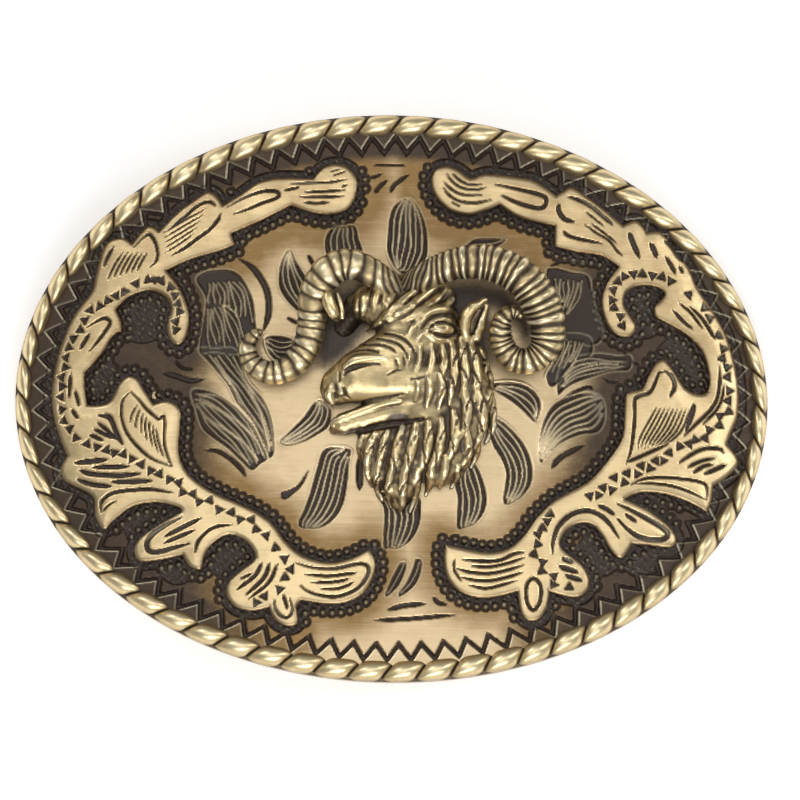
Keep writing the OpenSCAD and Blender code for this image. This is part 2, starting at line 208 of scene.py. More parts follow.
class Sheet:
    """A relief drawn as heights on a fine grid over part of the face."""

    def __init__(self, low: Sequence[float], high: Sequence[float], step: float) -> None:
        """Makes a flat sheet between two corners in millimetres."""
        self.step = step
        self.xs = np.arange(low[0], high[0] + step, step)
        self.ys = np.arange(low[1], high[1] + step, step)
        self.x, self.y = np.meshgrid(self.xs, self.ys)
        self.base = np.zeros_like(self.x)
        self.cut = np.zeros_like(self.x)
        # Patina in the cuts, and painted shade and shadow.
        self.dark = np.zeros_like(self.x)
        # Painted highlights and glints.
        self.shine = np.zeros_like(self.x)
        self.shift = np.zeros(self.x.shape + (2,))
        self.claim = np.full(self.x.shape, 0.5 * step)

    def window(self, low: Array, high: Array) -> Window:
        """The part of the grid between two corners."""
        i0, i1 = np.searchsorted(self.xs, [low[0], high[0]])
        j0, j1 = np.searchsorted(self.ys, [low[1], high[1]])
        return slice(j0, j1), slice(i0, i1)

    def around(self, path: Array, reach: float) -> Window:
        """The part of the grid within reach of a path."""
        return self.window(path[:, :2].min(0) - reach, path[:, :2].max(0) + reach)

    def distance(self, path: Array, reach: float, closed: bool = False) -> Array:
        """Distance from a path, less its half width if it has a third column.

        Args:
            path: Points, one per row.
            reach: The longest distance measured.
            closed: Whether the path joins up.

        Returns:
            One distance per grid point.
        """
        q = np.vstack([path, path[:1]]) if closed else path
        radius = q[:, 2] if q.shape[1] > 2 else np.zeros(len(q))
        out = np.full(self.x.shape, reach, float)
        for a, b, ra, rb in zip(q[:-1, :2], q[1:, :2], radius[:-1], radius[1:]):
            pad = reach + max(ra, rb)
            w = self.window(np.minimum(a, b) - pad, np.maximum(a, b) + pad)
            px, py = self.x[w] - a[0], self.y[w] - a[1]
            dx, dy = b - a
            t = np.clip((px * dx + py * dy) / (dx * dx + dy * dy + 1e-12), 0, 1)
            d = np.hypot(px - t * dx, py - t * dy) - (ra + t * (rb - ra))
            out[w] = np.minimum(out[w], d)
        return out

    def inside(self, loop: Array) -> Array:
        """Whether each grid point is within a closed loop."""
        out = np.zeros(self.x.shape, bool)
        a, b = loop[:, :2], np.roll(loop[:, :2], -1, axis=0)
        for j in range(*np.searchsorted(self.ys, [loop[:, 1].min(), loop[:, 1].max()])):
            y = self.ys[j]
            hit = (a[:, 1] > y) != (b[:, 1] > y)
            at = a[hit, 0] + (y - a[hit, 1]) * (b[hit, 0] - a[hit, 0]) / (b[hit, 1] - a[hit, 1])
            out[j] = np.searchsorted(np.sort(at), self.xs) % 2 == 1
        return out

    def signed(self, loop: Array, reach: float) -> Array:
        """Distance from a closed loop, negative inside it."""
        d = self.distance(loop[:, :2], reach, closed=True)
        return np.where(self.inside(loop), -d, d)

    def snap(self, d: Array, w: Window) -> None:
        """Moves the grid points next to a line onto it, so that cut edges are clean.

        Args:
            d: Signed distance from the line, for the points of the window.
            w: The window, a part of the grid.
        """
        gy, gx = np.gradient(d, self.step)
        near = np.abs(d) < self.claim[w]
        self.claim[w] = np.where(near, np.abs(d), self.claim[w])
        size = np.maximum(gx ** 2 + gy ** 2, 0.25)
        for k, g in enumerate((gx, gy)):
            self.shift[w + (k,)] = np.where(near, -d * g / size, self.shift[w + (k,)])

    def groove(self, points: Points | Array, width: float, depth: float, closed: bool = False,
               taper: float = 0.0, wall: float = 0.15, steps: int = 6) -> None:
        """Cuts a groove along a curve.

        Args:
            points: The curve's points, with the width at each as an optional third value.
            width: Width of the cut.
            depth: Depth of the cut.
            closed: Whether the curve joins up.
            taper: Share of the width lost at both ends.
            wall: Width of the sloping side.
            steps: Pieces per span of the curve.
        """
        path = spline(points, steps, closed)
        if path.shape[1] == 2:
            s = np.linspace(0, 1, len(path))
            ends = 1 - taper * np.clip(np.abs(2 * s - 1) * 2 - 1, 0, 1) ** 1.5
            path = np.column_stack([path, 0.5 * width * ends])
        else:
            path[:, 2] *= 0.5
        reach = 0.5
        w = self.around(path, reach + width)
        d = self.part(w).distance(path, reach, closed)
        self.cut[w] = np.maximum(self.cut[w], depth * smooth(0, min(wall, 0.45 * width), -d))
        self.snap(d, w)

    def part(self, w: Window) -> "Sheet":
        """A light copy of the grid for measuring distances in one window."""
        twin = object.__new__(Sheet)
        twin.step = self.step
        twin.xs, twin.ys = self.xs[w[1]], self.ys[w[0]]
        twin.x, twin.y = self.x[w], self.y[w]
        return twin

    def hollow(self, loop: Array, depth: float, wall: float = 0.2, lip: float = 0.0) -> None:
        """Sinks the ground inside a closed loop.

        Args:
            loop: The loop's points.
            depth: How deep it is sunk.
            wall: Width of the sloping side.
            lip: Height of a thin raised lip round it, which gets a painted highlight.
        """
        w = self.around(loop, 0.6)
        d = self.part(w).signed(loop, 0.6)
        self.cut[w] = np.maximum(self.cut[w], depth * smooth(0, wall, -d))
        if lip:
            edge = smooth(0.22, 0.06, np.abs(d - 0.12))
            self.base[w] = np.maximum(self.base[w], lip * edge)
            # Painted highlight along the lip.
            self.shine[w] = np.maximum(self.shine[w], 0.2 * edge)
        self.snap(d, w)

    def rib(self, path: Array, width: float, keep: float = 0.75) -> None:
        """Leaves a thin raised line standing in a hollow, with a painted highlight along it.

        Args:
            path: The line's points.
            width: Its width.
            keep: Share of the hollow's depth that it rises by.
        """
        path = np.column_stack([path[:, :2], np.full(len(path), 0.5 * width)])
        w = self.around(path, width + 0.3)
        d = self.part(w).distance(path, 0.4)
        up = smooth(0.13, -0.08, d)
        # Painted highlight along the top of the line.
        self.shine[w] = np.maximum(self.shine[w], 0.25 * up * smooth(0.02, 0.15, self.cut[w]))
        self.cut[w] *= 1 - keep * up
        self.snap(d, w)

    def bead(self, x: float, y: float, radius: float, rise: float, moat: float, depth: float) -> None:
        """Raises a small dome in a round hollow, with a painted glint on its top.

        Args:
            x: The middle's place along X.
            y: The middle's place along Y.
            radius: Radius of the dome.
            rise: How far its top stands above the face.
            moat: Radius of the hollow.
            depth: Depth of the hollow.
        """
        w = self.window(np.array([x, y]) - moat - 0.3, np.array([x, y]) + moat + 0.3)
        d = np.hypot(self.x[w] - x, self.y[w] - y)
        self.cut[w] = np.maximum(self.cut[w], depth * smooth(moat, moat - 0.18, d))
        dome = np.sqrt(np.clip(1 - (d / radius) ** 2, 0, 1))
        domed = np.minimum(self.cut[w], depth - (depth + rise) * dome)
        self.cut[w] = np.where(d < radius, domed, self.cut[w])
        # Painted glint on the top of the dome.
        self.shine[w] = np.maximum(self.shine[w], 0.2 * smooth(0.7, 0.99, dome))
        self.dark[w] = np.maximum(self.dark[w], 0.5 * smooth(radius + 0.1, radius - 0.1, d))
        self.snap(d - moat, w)

    def corners(self) -> tuple[Array, Array]:
        """Shifted grid points and their heights above the bent plate."""
        x, y = self.x + self.shift[..., 0], self.y + self.shift[..., 1]
        return np.column_stack([x.ravel(), y.ravel()]), (self.base - self.cut).ravel()


def triangles(rows: int, columns: int) -> Array:
    """Triangles of a grid, with every other diagonal turned."""
    j, i = np.meshgrid(np.arange(rows - 1), np.arange(columns - 1), indexing="ij")
    a = (j * columns + i).ravel()
    b, c, d = a + 1, a + columns + 1, a + columns
    even = ((j + i) % 2 == 0).ravel()
    return np.vstack([np.column_stack([a, b, c])[even], np.column_stack([a, c, d])[even],
                      np.column_stack([a, b, d])[~even], np.column_stack([b, c, d])[~even]])


def trim(tris: Array, values: Array, level: Array) -> tuple[Array, Array]:
    """Cuts triangles along the line where level is zero and keeps the negative side.

    Args:
        tris: Triangles, as three point numbers each.
        values: One row of values per point, interpolated at the cut.
        level: Signed value per point.

    Returns:
        The triangles kept and the values with the cut's points added.
    """
    tris = tris[(level[tris] <= 0).any(1)]
    inside = level[tris] <= 0
    whole = tris[inside.all(1)]
    some, kept = tris[~inside.all(1)], inside[~inside.all(1)]
    single = kept.sum(1) == 1
    turn = np.where(single, kept.argmax(1), (~kept).argmax(1))
    a, b, c = (some[np.arange(len(some)), (turn + k) % 3] for k in range(3))
    pairs = np.vstack([np.column_stack([a, b]), np.column_stack([a, c])])
    keys, index = np.unique(np.sort(pairs, 1), axis=0, return_inverse=True)
    index = index.reshape(-1)
    la, lb = level[keys[:, 0]], level[keys[:, 1]]
    t = (la / (la - lb))[:, None]
    added = values[keys[:, 0]] * (1 - t) + values[keys[:, 1]] * t
    n = len(values)
    ab, ac = n + index[:len(a)], n + index[len(a):]
    ones = np.column_stack([a, ab, ac])[single]
    two = ~single
    twos = np.vstack([np.column_stack([ab, b, c])[two], np.column_stack([ab, c, ac])[two]])
    return np.vstack([whole, ones, twos]), np.vstack([values, added])


def compact(tris: Array, values: Array) -> tuple[Array, Array]:
    """Drops points that no triangle uses, and numbers the rest again."""
    used, again = np.unique(tris, return_inverse=True)
    return again.reshape(-1, 3), values[used]


def rim_of(tris: Array) -> Array:
    """Edges with a triangle on one side only, each with its triangle to the left."""
    edges = np.vstack([tris[:, [0, 1]], tris[:, [1, 2]], tris[:, [2, 0]]])
    key = edges[:, 0].astype(np.int64) * (edges.max() + 1) + edges[:, 1]
    back = edges[:, 1].astype(np.int64) * (edges.max() + 1) + edges[:, 0]
    return edges[~np.isin(key, back)]


def rings(edges: Array) -> list[Array]:
    """Chains loose edges into closed rings of point numbers, the longest first."""
    after = {int(a): int(b) for a, b in edges}
    out = []
    while after:
        start, at = next(iter(after.items()))
        ring = [start]
        del after[start]
        while at != start and at in after:
            ring.append(at)
            at = after.pop(at)
        out.append(np.array(ring))
    return sorted(out, key=len, reverse=True)


# ---------- meshes ----------

def make_piece(name: str, points: Array, faces: Iterable[Array], paint: dict[str, Array],
               flat: Array | None = None) -> Piece:
    """Makes a piece from points in millimetres.

    Args:
        name: Name of the piece.
        points: Points, one per row.
        faces: Arrays of faces, each with one number of corners.
        paint: Named value per point for the finish.
        flat: Place of each point on the unwrapped sheet, else seen from above.

    Returns:
        The new piece.
    """
    groups = [np.asarray(f) for f in faces if len(f)]
    corners = np.concatenate([g.ravel() for g in groups])
    counts = np.concatenate([np.full(len(g), g.shape[1]) for g in groups])
    mesh = bpy.data.meshes.new(name)
    mesh.vertices.add(len(points))
    mesh.vertices.foreach_set("co", (points * MM).astype(np.float32).ravel())
    mesh.loops.add(len(corners))
    mesh.loops.foreach_set("vertex_index", corners.astype(np.int32))
    mesh.polygons.add(len(counts))
    starts = np.concatenate([[0], np.cumsum(counts)[:-1]])
    mesh.polygons.foreach_set("loop_start", starts.astype(np.int32))
    mesh.update(calc_edges=True)
    mesh.validate()
    for key, values in paint.items():
        layer = mesh.attributes.new(key, "FLOAT", "POINT")
        layer.data.foreach_set("value", np.clip(values, 0, 1).astype(np.float32))
    if flat is None:
        span = points[:, :2].max(0) - points[:, :2].min(0)
        flat = (points[:, :2] - points[:, :2].min(0)) / span.max() * UV_ROOM + UV_EDGE
        normals = np.zeros(len(mesh.polygons) * 3, np.float32)
        mesh.polygons.foreach_get("normal", normals)
        under = np.repeat(normals.reshape(-1, 3)[:, 2] < 0, counts[:len(mesh.polygons)])
        place = flat[corners] * [0.5, 1.0] + np.where(under[:, None], [0.5, 0], [0, 0])
    else:
        place = flat[corners]
    layer = mesh.uv_layers.new(name="OFBake")
    layer.data.foreach_set("uv", place.astype(np.float32).ravel())
    mesh.shade_smooth()
    piece = bpy.data.objects.new(name, mesh)
    bpy.context.scene.collection.objects.link(piece)
    return piece


def crisp(piece: Piece, first: int, degrees: float = 30) -> None:
    """Marks a piece's sharp edges, and leaves its first points smooth.

    Args:
        piece: The piece.
        first: Number of the first point that may have a sharp edge.
        degrees: How far the faces at an edge turn before it is sharp.
    """
    mesh = piece.data
    mesh.set_sharp_from_angle(angle=math.radians(degrees))
    ends = np.zeros(len(mesh.edges) * 2, np.int32)
    mesh.edges.foreach_get("vertices", ends)
    layer = mesh.attributes["sharp_edge"].data
    sharp = np.zeros(len(mesh.edges), bool)
    layer.foreach_get("value", sharp)
    layer.foreach_set("value", sharp & (ends.reshape(-1, 2) >= first).all(1))


def node_mesh(node: str) -> tuple[Array, Array]:
    """Points in millimetres and triangles of a CAD node, with equal points joined."""
    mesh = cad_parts[node].data
    mesh.calc_loop_triangles()
    co = np.zeros(len(mesh.vertices) * 3, np.float32)
    mesh.vertices.foreach_get("co", co)
    tri = np.zeros(len(mesh.loop_triangles) * 3, np.int32)
    mesh.loop_triangles.foreach_get("vertices", tri)
    points, again = np.unique(np.round(co.reshape(-1, 3) / MM, 3), axis=0, return_inverse=True)
    tri = again.reshape(-1)[tri].reshape(-1, 3)
    keep = (tri[:, 0] != tri[:, 1]) & (tri[:, 1] != tri[:, 2]) & (tri[:, 2] != tri[:, 0])
    return points, tri[keep]


def face_outline(node: str, radius: float) -> Array:
    """Outline of a CAD node's bent top face, anticlockwise."""
    points, tris = node_mesh(node)
    on_top = np.abs(points[:, 2] - bent(points[:, 0], radius)) < 0.03
    loop = points[rings(rim_of(tris[on_top[tris].all(1)]))[0]][:, :2]
    area = np.sum(loop[:, 0] * np.roll(loop[:, 1], -1) - np.roll(loop[:, 0], -1) * loop[:, 1])
    return loop if area > 0 else loop[::-1]


def stitch(first: Array, second: Array, angle_first: Array, angle_second: Array) -> Array:
    """Triangles between two rings of point numbers that go round in the same sense.

    Args:
        first: Point numbers of the first ring, by rising angle.
        second: Point numbers of the second ring, by rising angle.
        angle_first: Angle of each point of the first ring.
        angle_second: Angle of each point of the second ring.

    Returns:
        Triangles that face away from the first ring's left side.
    """
    a, b = (np.append(turn, turn[0] + 2 * np.pi) for turn in (angle_first, angle_second))
    m, n = len(first), len(second)
    i = j = 0
    out = []
    while i < m or j < n:
        here, there = first[i % m], second[j % n]
        if j >= n or (i < m and a[i + 1] <= b[j + 1]):
            out.append((here, first[(i + 1) % m], there))
            i += 1
        else:
            out.append((here, second[(j + 1) % n], there))
            j += 1
    return np.array(out)


def tube(rows: int, columns: int, closed: bool) -> tuple[Array, Array]:
    """Faces of a tube whose points are numbered ring by ring.

    Args:
        rows: How many rings there are.
        columns: Points per ring.
        closed: Whether the last ring joins up with the first.

    Returns:
        Four point numbers per face, and the place of each point on the unwrapped sheet.
    """
    i, j = np.meshgrid(np.arange(rows), np.arange(columns), indexing="ij")
    ahead, beside = (i + 1) % rows, (j + 1) % columns
    faces = np.stack([i * columns + j, i * columns + beside, ahead * columns + beside,
                      ahead * columns + j], -1)
    flat = np.stack([i / rows * UV_ROOM + UV_EDGE, j / columns * 0.5 + UV_EDGE], -1)
    return faces[:rows if closed else rows - 1].reshape(-1, 4), flat.reshape(-1, 2)


# ---------- finishes ----------

class Graph:
    """Short calls for wiring shader nodes."""

    def __init__(self, tree: Tree) -> None:
        """Works on one node tree."""
        self.tree = tree

    def add(self, kind: str, inputs: dict | None = None, **settings: object) -> bpy.types.Node:
        """Adds a node and fills its inputs with values or with other nodes' outputs.

        Args:
            kind: Blender's name for the kind of node.
            inputs: Value or output for each input, by the input's name or number.
            **settings: The node's own settings.

        Returns:
            The new node.
        """
        node = self.tree.nodes.new(kind)
        for key, value in settings.items():
            setattr(node, key, value)
        for key, value in (inputs or {}).items():
            if isinstance(value, bpy.types.NodeSocket):
                self.tree.links.new(value, node.inputs[key])
            else:
                node.inputs[key].default_value = value
        return node

    def math(self, operation: str, a: object, b: object = 0.0, clamp: bool = False) -> Socket:
        """Output of a math node."""
        node = self.add("ShaderNodeMath", {0: a, 1: b}, operation=operation, use_clamp=clamp)
        return node.outputs[0]

    def mix(self, share: object, a: object, b: object) -> Socket:
        """Output of a colour mix."""
        node = self.add("ShaderNodeMix", {0: share, 6: a, 7: b}, data_type="RGBA", blend_type="MIX")
        return node.outputs[2]

    def spread(self, value: object, low: float, high: float, to_low: float = 0.0,
               to_high: float = 1.0) -> Socket:
        """Value moved from one range to another and clamped."""
        node = self.add("ShaderNodeMapRange", {0: value, 1: low, 2: high, 3: to_low, 4: to_high})
        return node.outputs[0]

    def millimetres(self, stretch: Place = (1, 1, 1)) -> Socket:
        """Place on the piece in millimetres, stretched along each axis."""
        place = self.add("ShaderNodeTexCoord").outputs["Object"]
        scale = tuple(1000 * share for share in stretch)
        return self.add("ShaderNodeVectorMath", {0: place, 1: scale}, operation="MULTIPLY").outputs[0]

    def noise(self, place: object, scale: float, detail: float = 4.0, rough: float = 0.55) -> Socket:
        """Output of a noise texture."""
        inputs = {"Vector": place, "Scale": scale, "Detail": detail, "Roughness": rough}
        return self.add("ShaderNodeTexNoise", inputs).outputs[0]


def new_group(name: str, inputs: Iterable[tuple[str, str, object]], outputs: Iterable[tuple[str, str]]
              ) -> tuple[Tree, bpy.types.Node, bpy.types.Node]:
    """Makes an empty node group with named sockets.

    Args:
        name: Name of the group.
        inputs: Name, socket kind and starting value of each input.
        outputs: Name and socket kind of each output.

    Returns:
        The group, its input node and its output node.
    """
    tree = bpy.data.node_groups.new(name, "ShaderNodeTree")
    for label, kind, value in inputs:
        socket = tree.interface.new_socket(label, in_out="INPUT", socket_type=kind)
        socket.default_value = value
    for label, kind in outputs:
        tree.interface.new_socket(label, in_out="OUTPUT", socket_type=kind)
    return tree, tree.nodes.new("NodeGroupInput"), tree.nodes.new("NodeGroupOutput")


FLOAT, COLOR = "NodeSocketFloat", "NodeSocketColor"


def grain_group() -> Tree:
    """Fine brushed lines along X and small pits, with more pits and no lines where the metal is as cast.

    Returns:
        The group, whose outputs are one height and a mask of the streaks.
    """
    tree, ins, outs = new_group(
        "brushed_grain",
        [("Brush", FLOAT, 1.0), ("Pits", FLOAT, 0.5), ("Cast", FLOAT, 0.0)],
        [("Height", FLOAT), ("Streaks", FLOAT)])
    g = Graph(tree)
    fine = g.noise(g.millimetres((0.12, 5, 5)), 1.0, 3.0)
    wide = g.noise(g.millimetres((0.05, 1.1, 1.1)), 1.0, 4.0)
    streaks = g.math("ADD", g.math("MULTIPLY", fine, 0.6), g.math("MULTIPLY", wide, 0.4))
    pits = g.spread(g.noise(g.millimetres(), 2.6, 2.0), 0.28, 0.42)
    sand = g.noise(g.millimetres(), 6.0, 2.0)
    brushed = g.math("SUBTRACT", 1.0, ins.outputs["Cast"])
    height = g.math("MULTIPLY", g.math("MULTIPLY", streaks, ins.outputs["Brush"]), brushed)
    rough = g.math("ADD", ins.outputs["Pits"], g.math("MULTIPLY", ins.outputs["Cast"], 0.6))
    grit = g.math("ADD", pits, g.math("MULTIPLY", sand, 0.4))
    height = g.math("ADD", height, g.math("MULTIPLY", grit, rough))
    streaks = g.math("ADD", 0.5, g.math("MULTIPLY", g.math("SUBTRACT", streaks, 0.5), brushed))
    tree.links.new(height, outs.inputs["Height"])
    tree.links.new(streaks, outs.inputs["Streaks"])
    return tree


def antique_group() -> Tree:
    """Brass that browns with its tone, darkens with patina and painted shade, and brightens with painted
    highlights and rubbed crests.

    Returns:
        The group, whose outputs are colour, roughness and how metallic the surface is.
    """
    tree, ins, outs = new_group(
        "antique_brass",
        [("Metal", COLOR, (0.8, 0.66, 0.36, 1)), ("Brown", COLOR, (0.36, 0.24, 0.1, 1)),
         ("Patina_and_shade", COLOR, (0.036, 0.021, 0.013, 1)), ("Bright", COLOR, (0.95, 0.86, 0.6, 1)),
         ("Dark", FLOAT, 0.0), ("Shine", FLOAT, 0.0), ("Tone", FLOAT, 0.0), ("Streaks", FLOAT, 0.5),
         ("Blotch", FLOAT, 1.0), ("Smoothness", FLOAT, 0.3)],
        [("Color", COLOR), ("Roughness", FLOAT), ("Metallic", FLOAT)])
    g = Graph(tree)
    i = ins.outputs
    blotch = g.math("SUBTRACT", g.noise(g.millimetres(), 0.55, 5.0, 0.6), 0.5)
    speck = g.math("SUBTRACT", g.noise(g.millimetres(), 3.4, 3.0, 0.6), 0.5)
    tone = g.math("ADD", i["Tone"], g.math("MULTIPLY", blotch, i["Blotch"]))
    tone = g.math("ADD", tone, g.math("MULTIPLY", g.math("SUBTRACT", i["Streaks"], 0.5), 0.9), clamp=True)
    edge = g.math("MULTIPLY", g.math("MULTIPLY", i["Dark"], g.math("SUBTRACT", 1.0, i["Dark"])), 2.2)
    dark = g.math("ADD", i["Dark"], g.math("MULTIPLY", g.math("ADD", speck, blotch), edge), clamp=True)
    color = g.mix(tone, i["Metal"], i["Brown"])
    # Dark colour for patina, and for painted shade and shadow.
    color = g.mix(dark, color, i["Patina_and_shade"])
    shine = g.math("MULTIPLY", i["Shine"], g.spread(speck, -0.3, 0.1, 0.45, 1.0))
    # Bright colour for painted highlights and glints, and rubbed crests.
    color = g.mix(g.math("MULTIPLY", shine, 0.75), color, i["Bright"])
    rough = g.math("ADD", i["Smoothness"], g.math("MULTIPLY", g.math("ADD", tone, speck), 0.12))
    rough = g.math("SUBTRACT", rough, g.math("MULTIPLY", shine, 0.08))
    rough = g.math("ADD", rough, g.math("MULTIPLY", dark, -0.04), clamp=True)
    metallic = g.math("SUBTRACT", 1.0, g.math("MULTIPLY", dark, 0.75), clamp=True)
    for label, value in (("Color", color), ("Roughness", rough), ("Metallic", metallic)):
        tree.links.new(value, outs.inputs[label])
    return tree


@dataclass(frozen=True)
class Brass:
    """One brass finish.

    Args:
        name: Name of the material.
        metal: Colour of clean metal.
        brown: Colour of browned metal.
        smoothness: Roughness of clean metal.
        brush: Strength of the brushed lines.
        pits: Strength of the cast pits.
        blotch: How uneven the browning is.
        bump: Height of the grain in millimetres.
    """

    name: str
    metal: Colour = (0.84, 0.67, 0.40, 1)
    brown: Colour = (0.30, 0.19, 0.08, 1)
    smoothness: float = 0.3
    brush: float = 0.4
    pits: float = 0.3
    blotch: float = 0.5
    bump: float = 0.03

    def make(self, grain: Tree, antique: Tree) -> bpy.types.Material:
        """Makes the material from the shared groups.

        Args:
            grain: The group that gives the height of the grain.
            antique: The group that gives the colour.

        Returns:
            The new material.
        """
        material = bpy.data.materials.new(self.name)
        material.use_nodes = True
        tree = material.node_tree
        g = Graph(tree)
        shader = tree.nodes["Principled BSDF"]
        lines = g.add("ShaderNodeGroup", node_tree=grain)
        body = g.add("ShaderNodeGroup", node_tree=antique)
        for node, key, value in ((lines, "Brush", self.brush), (lines, "Pits", self.pits),
                                 (body, "Metal", self.metal), (body, "Brown", self.brown),
                                 (body, "Blotch", self.blotch), (body, "Smoothness", self.smoothness)):
            node.inputs[key].default_value = value
        for node, key in ((lines, "Cast"), (body, "Dark"), (body, "Shine"), (body, "Tone")):
            mark = g.add("ShaderNodeAttribute", attribute_name=key.lower())
            tree.links.new(mark.outputs["Fac"], node.inputs[key])
        tree.links.new(lines.outputs["Streaks"], body.inputs["Streaks"])
        for key, target in (("Color", "Base Color"), ("Roughness", "Roughness"), ("Metallic", "Metallic")):
            tree.links.new(body.outputs[key], shader.inputs[target])
        bump = g.add("ShaderNodeBump", {"Strength": 0.6, "Distance": self.bump * MM,
                                        "Height": lines.outputs["Height"]})
        tree.links.new(bump.outputs[0], shader.inputs["Normal"])
        return material


FINISHES = {finish.name: finish for finish in (
    Brass("plate_brass", metal=(0.70, 0.54, 0.325, 1), brush=1.0, pits=0.25, blotch=0.45, smoothness=0.36),
    Brass("rope_brass", metal=(0.97, 0.79, 0.45, 1), brush=0.2, blotch=0.35, smoothness=0.38),
    Brass("scroll_brass", metal=(0.80, 0.62, 0.345, 1), brush=0.5, blotch=0.6),
    Brass("head_brass", metal=(0.84, 0.67, 0.36, 1), smoothness=0.34),
    Brass("horn_brass", metal=(0.84, 0.67, 0.36, 1), smoothness=0.38),
    Brass("bracket_brass", metal=(0.7, 0.56, 0.3, 1), pits=0.8, blotch=0.9, smoothness=0.38),
    Brass("bail_brass", metal=(0.74, 0.6, 0.33, 1), blotch=0.8),
    Brass("stud_brass", metal=(0.74, 0.6, 0.33, 1), blotch=0.8),
    Brass("screw_metal", metal=(0.62, 0.6, 0.56, 1), brown=(0.3, 0.28, 0.25, 1), blotch=0.6),
)}


class Dresser:
    """Puts the finishes on the pieces and on the CAD nodes that stay in view."""

    def __init__(self) -> None:
        """Builds the shared groups and every finish once."""
        grain, antique = grain_group(), antique_group()
        self.made = {slot: finish.make(grain, antique) for slot, finish in FINISHES.items()}

    def dress(self, piece: Piece, slot: str) -> None:
        """Gives a new piece its finish."""
        piece.data.materials.clear()
        piece.data.materials.append(self.made[slot])
        log.info("%s: %d faces, %s", piece.name, len(piece.data.polygons), slot)

    def dress_nodes(self) -> None:
        """Gives every CAD node the finish of its slot."""
        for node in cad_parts.values():
            for k, material in enumerate(node.data.materials):
                slot = (material.name if material else "").split(".")[0]
                if slot in self.made:
                    node.data.materials[k] = self.made[slot]


class Casting:
    """A piece of the buckle's front that stands for one CAD node."""

    node: str
    slot: str

    def dress(self, piece: Piece, dresser: Dresser) -> None:
        """Gives the piece its body and its finish, and hides the CAD node it stands for.

        Args:
            piece: The piece that build made.
            dresser: Holds the finishes.
        """
        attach(piece, "buckle")
        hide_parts(self.node)
        dresser.dress(piece, self.slot)


# ---------- drawing on the sheets ----------

def xy(*values: float) -> Array:
    """Points from a run of x, y pairs."""
    return np.array(values, float).reshape(-1, 2)


def draw(sheet: Sheet, strokes: Iterable[Stroke], depth: float, taper: float = 0.6) -> None:
    """Cuts a list of strokes, each given as its width and then its points."""
    for width, *values in strokes:
        sheet.groove(xy(*values), width, depth, taper=taper)


@dataclass(frozen=True)
class Leaf:
    """A sunk leaf with raised veins from its base to its tip.

    Args:
        outline: Points round the leaf, starting at the base.
        tip: Number of the point at the tip.
        veins: How many veins stand in it.
        width: Width of a vein.
        depth: How deep the leaf is sunk.
    """

    outline: Array
    tip: int
    veins: int
    width: float = 0.34
    depth: float = 0.42

    def cut(self, sheet: Sheet) -> None:
        """Sinks the leaf and leaves its veins."""
        sheet.hollow(spline(self.outline, 6, closed=True), self.depth, lip=0.06)
        one_side = self.outline[:self.tip + 1]
        other_side = np.vstack([self.outline[:1], self.outline[:self.tip - 1:-1]])
        for k, vein in enumerate(fan(one_side, other_side, self.veins + 2)[1:-1]):
            n = len(vein)
            start = int(n * (0.05 + 0.05 * (k % 3)))
            end = n - int(n * (0.05 + 0.06 * ((k + 1) % 2)))
            cut = vein[start:end]
            sway = 0.09 * np.sin(np.linspace(0, 7, len(cut)) + 2 * k)
            sheet.rib(cut + sway[:, None] * [0.7, 0.7], self.width * (0.8 + 0.2 * (k % 2)))


@dataclass(frozen=True)
class Fan:
    """A run of raised veins between two curves, standing in ground that is already sunk.

    Args:
        first: Points of the first vein.
        last: Points of the last vein.
        count: How many veins there are.
        width: Width of a vein.
        keep: Share of the hollow's depth that a vein rises by.
    """

    first: Array
    last: Array
    count: int
    width: float = 0.26
    keep: float = 0.7

    def cut(self, sheet: Sheet) -> None:
        """Leaves the veins."""
        for k, line in enumerate(fan(self.first, self.last, self.count)):
            cut = line[k % 3:len(line) - (2 * k) % 5]
            sway = 0.1 * np.sin(np.linspace(0, 6, len(cut)) + 1.7 * k)
            sheet.rib(cut + sway[:, None], self.width * (0.85 + 0.3 * (k % 2)), self.keep)


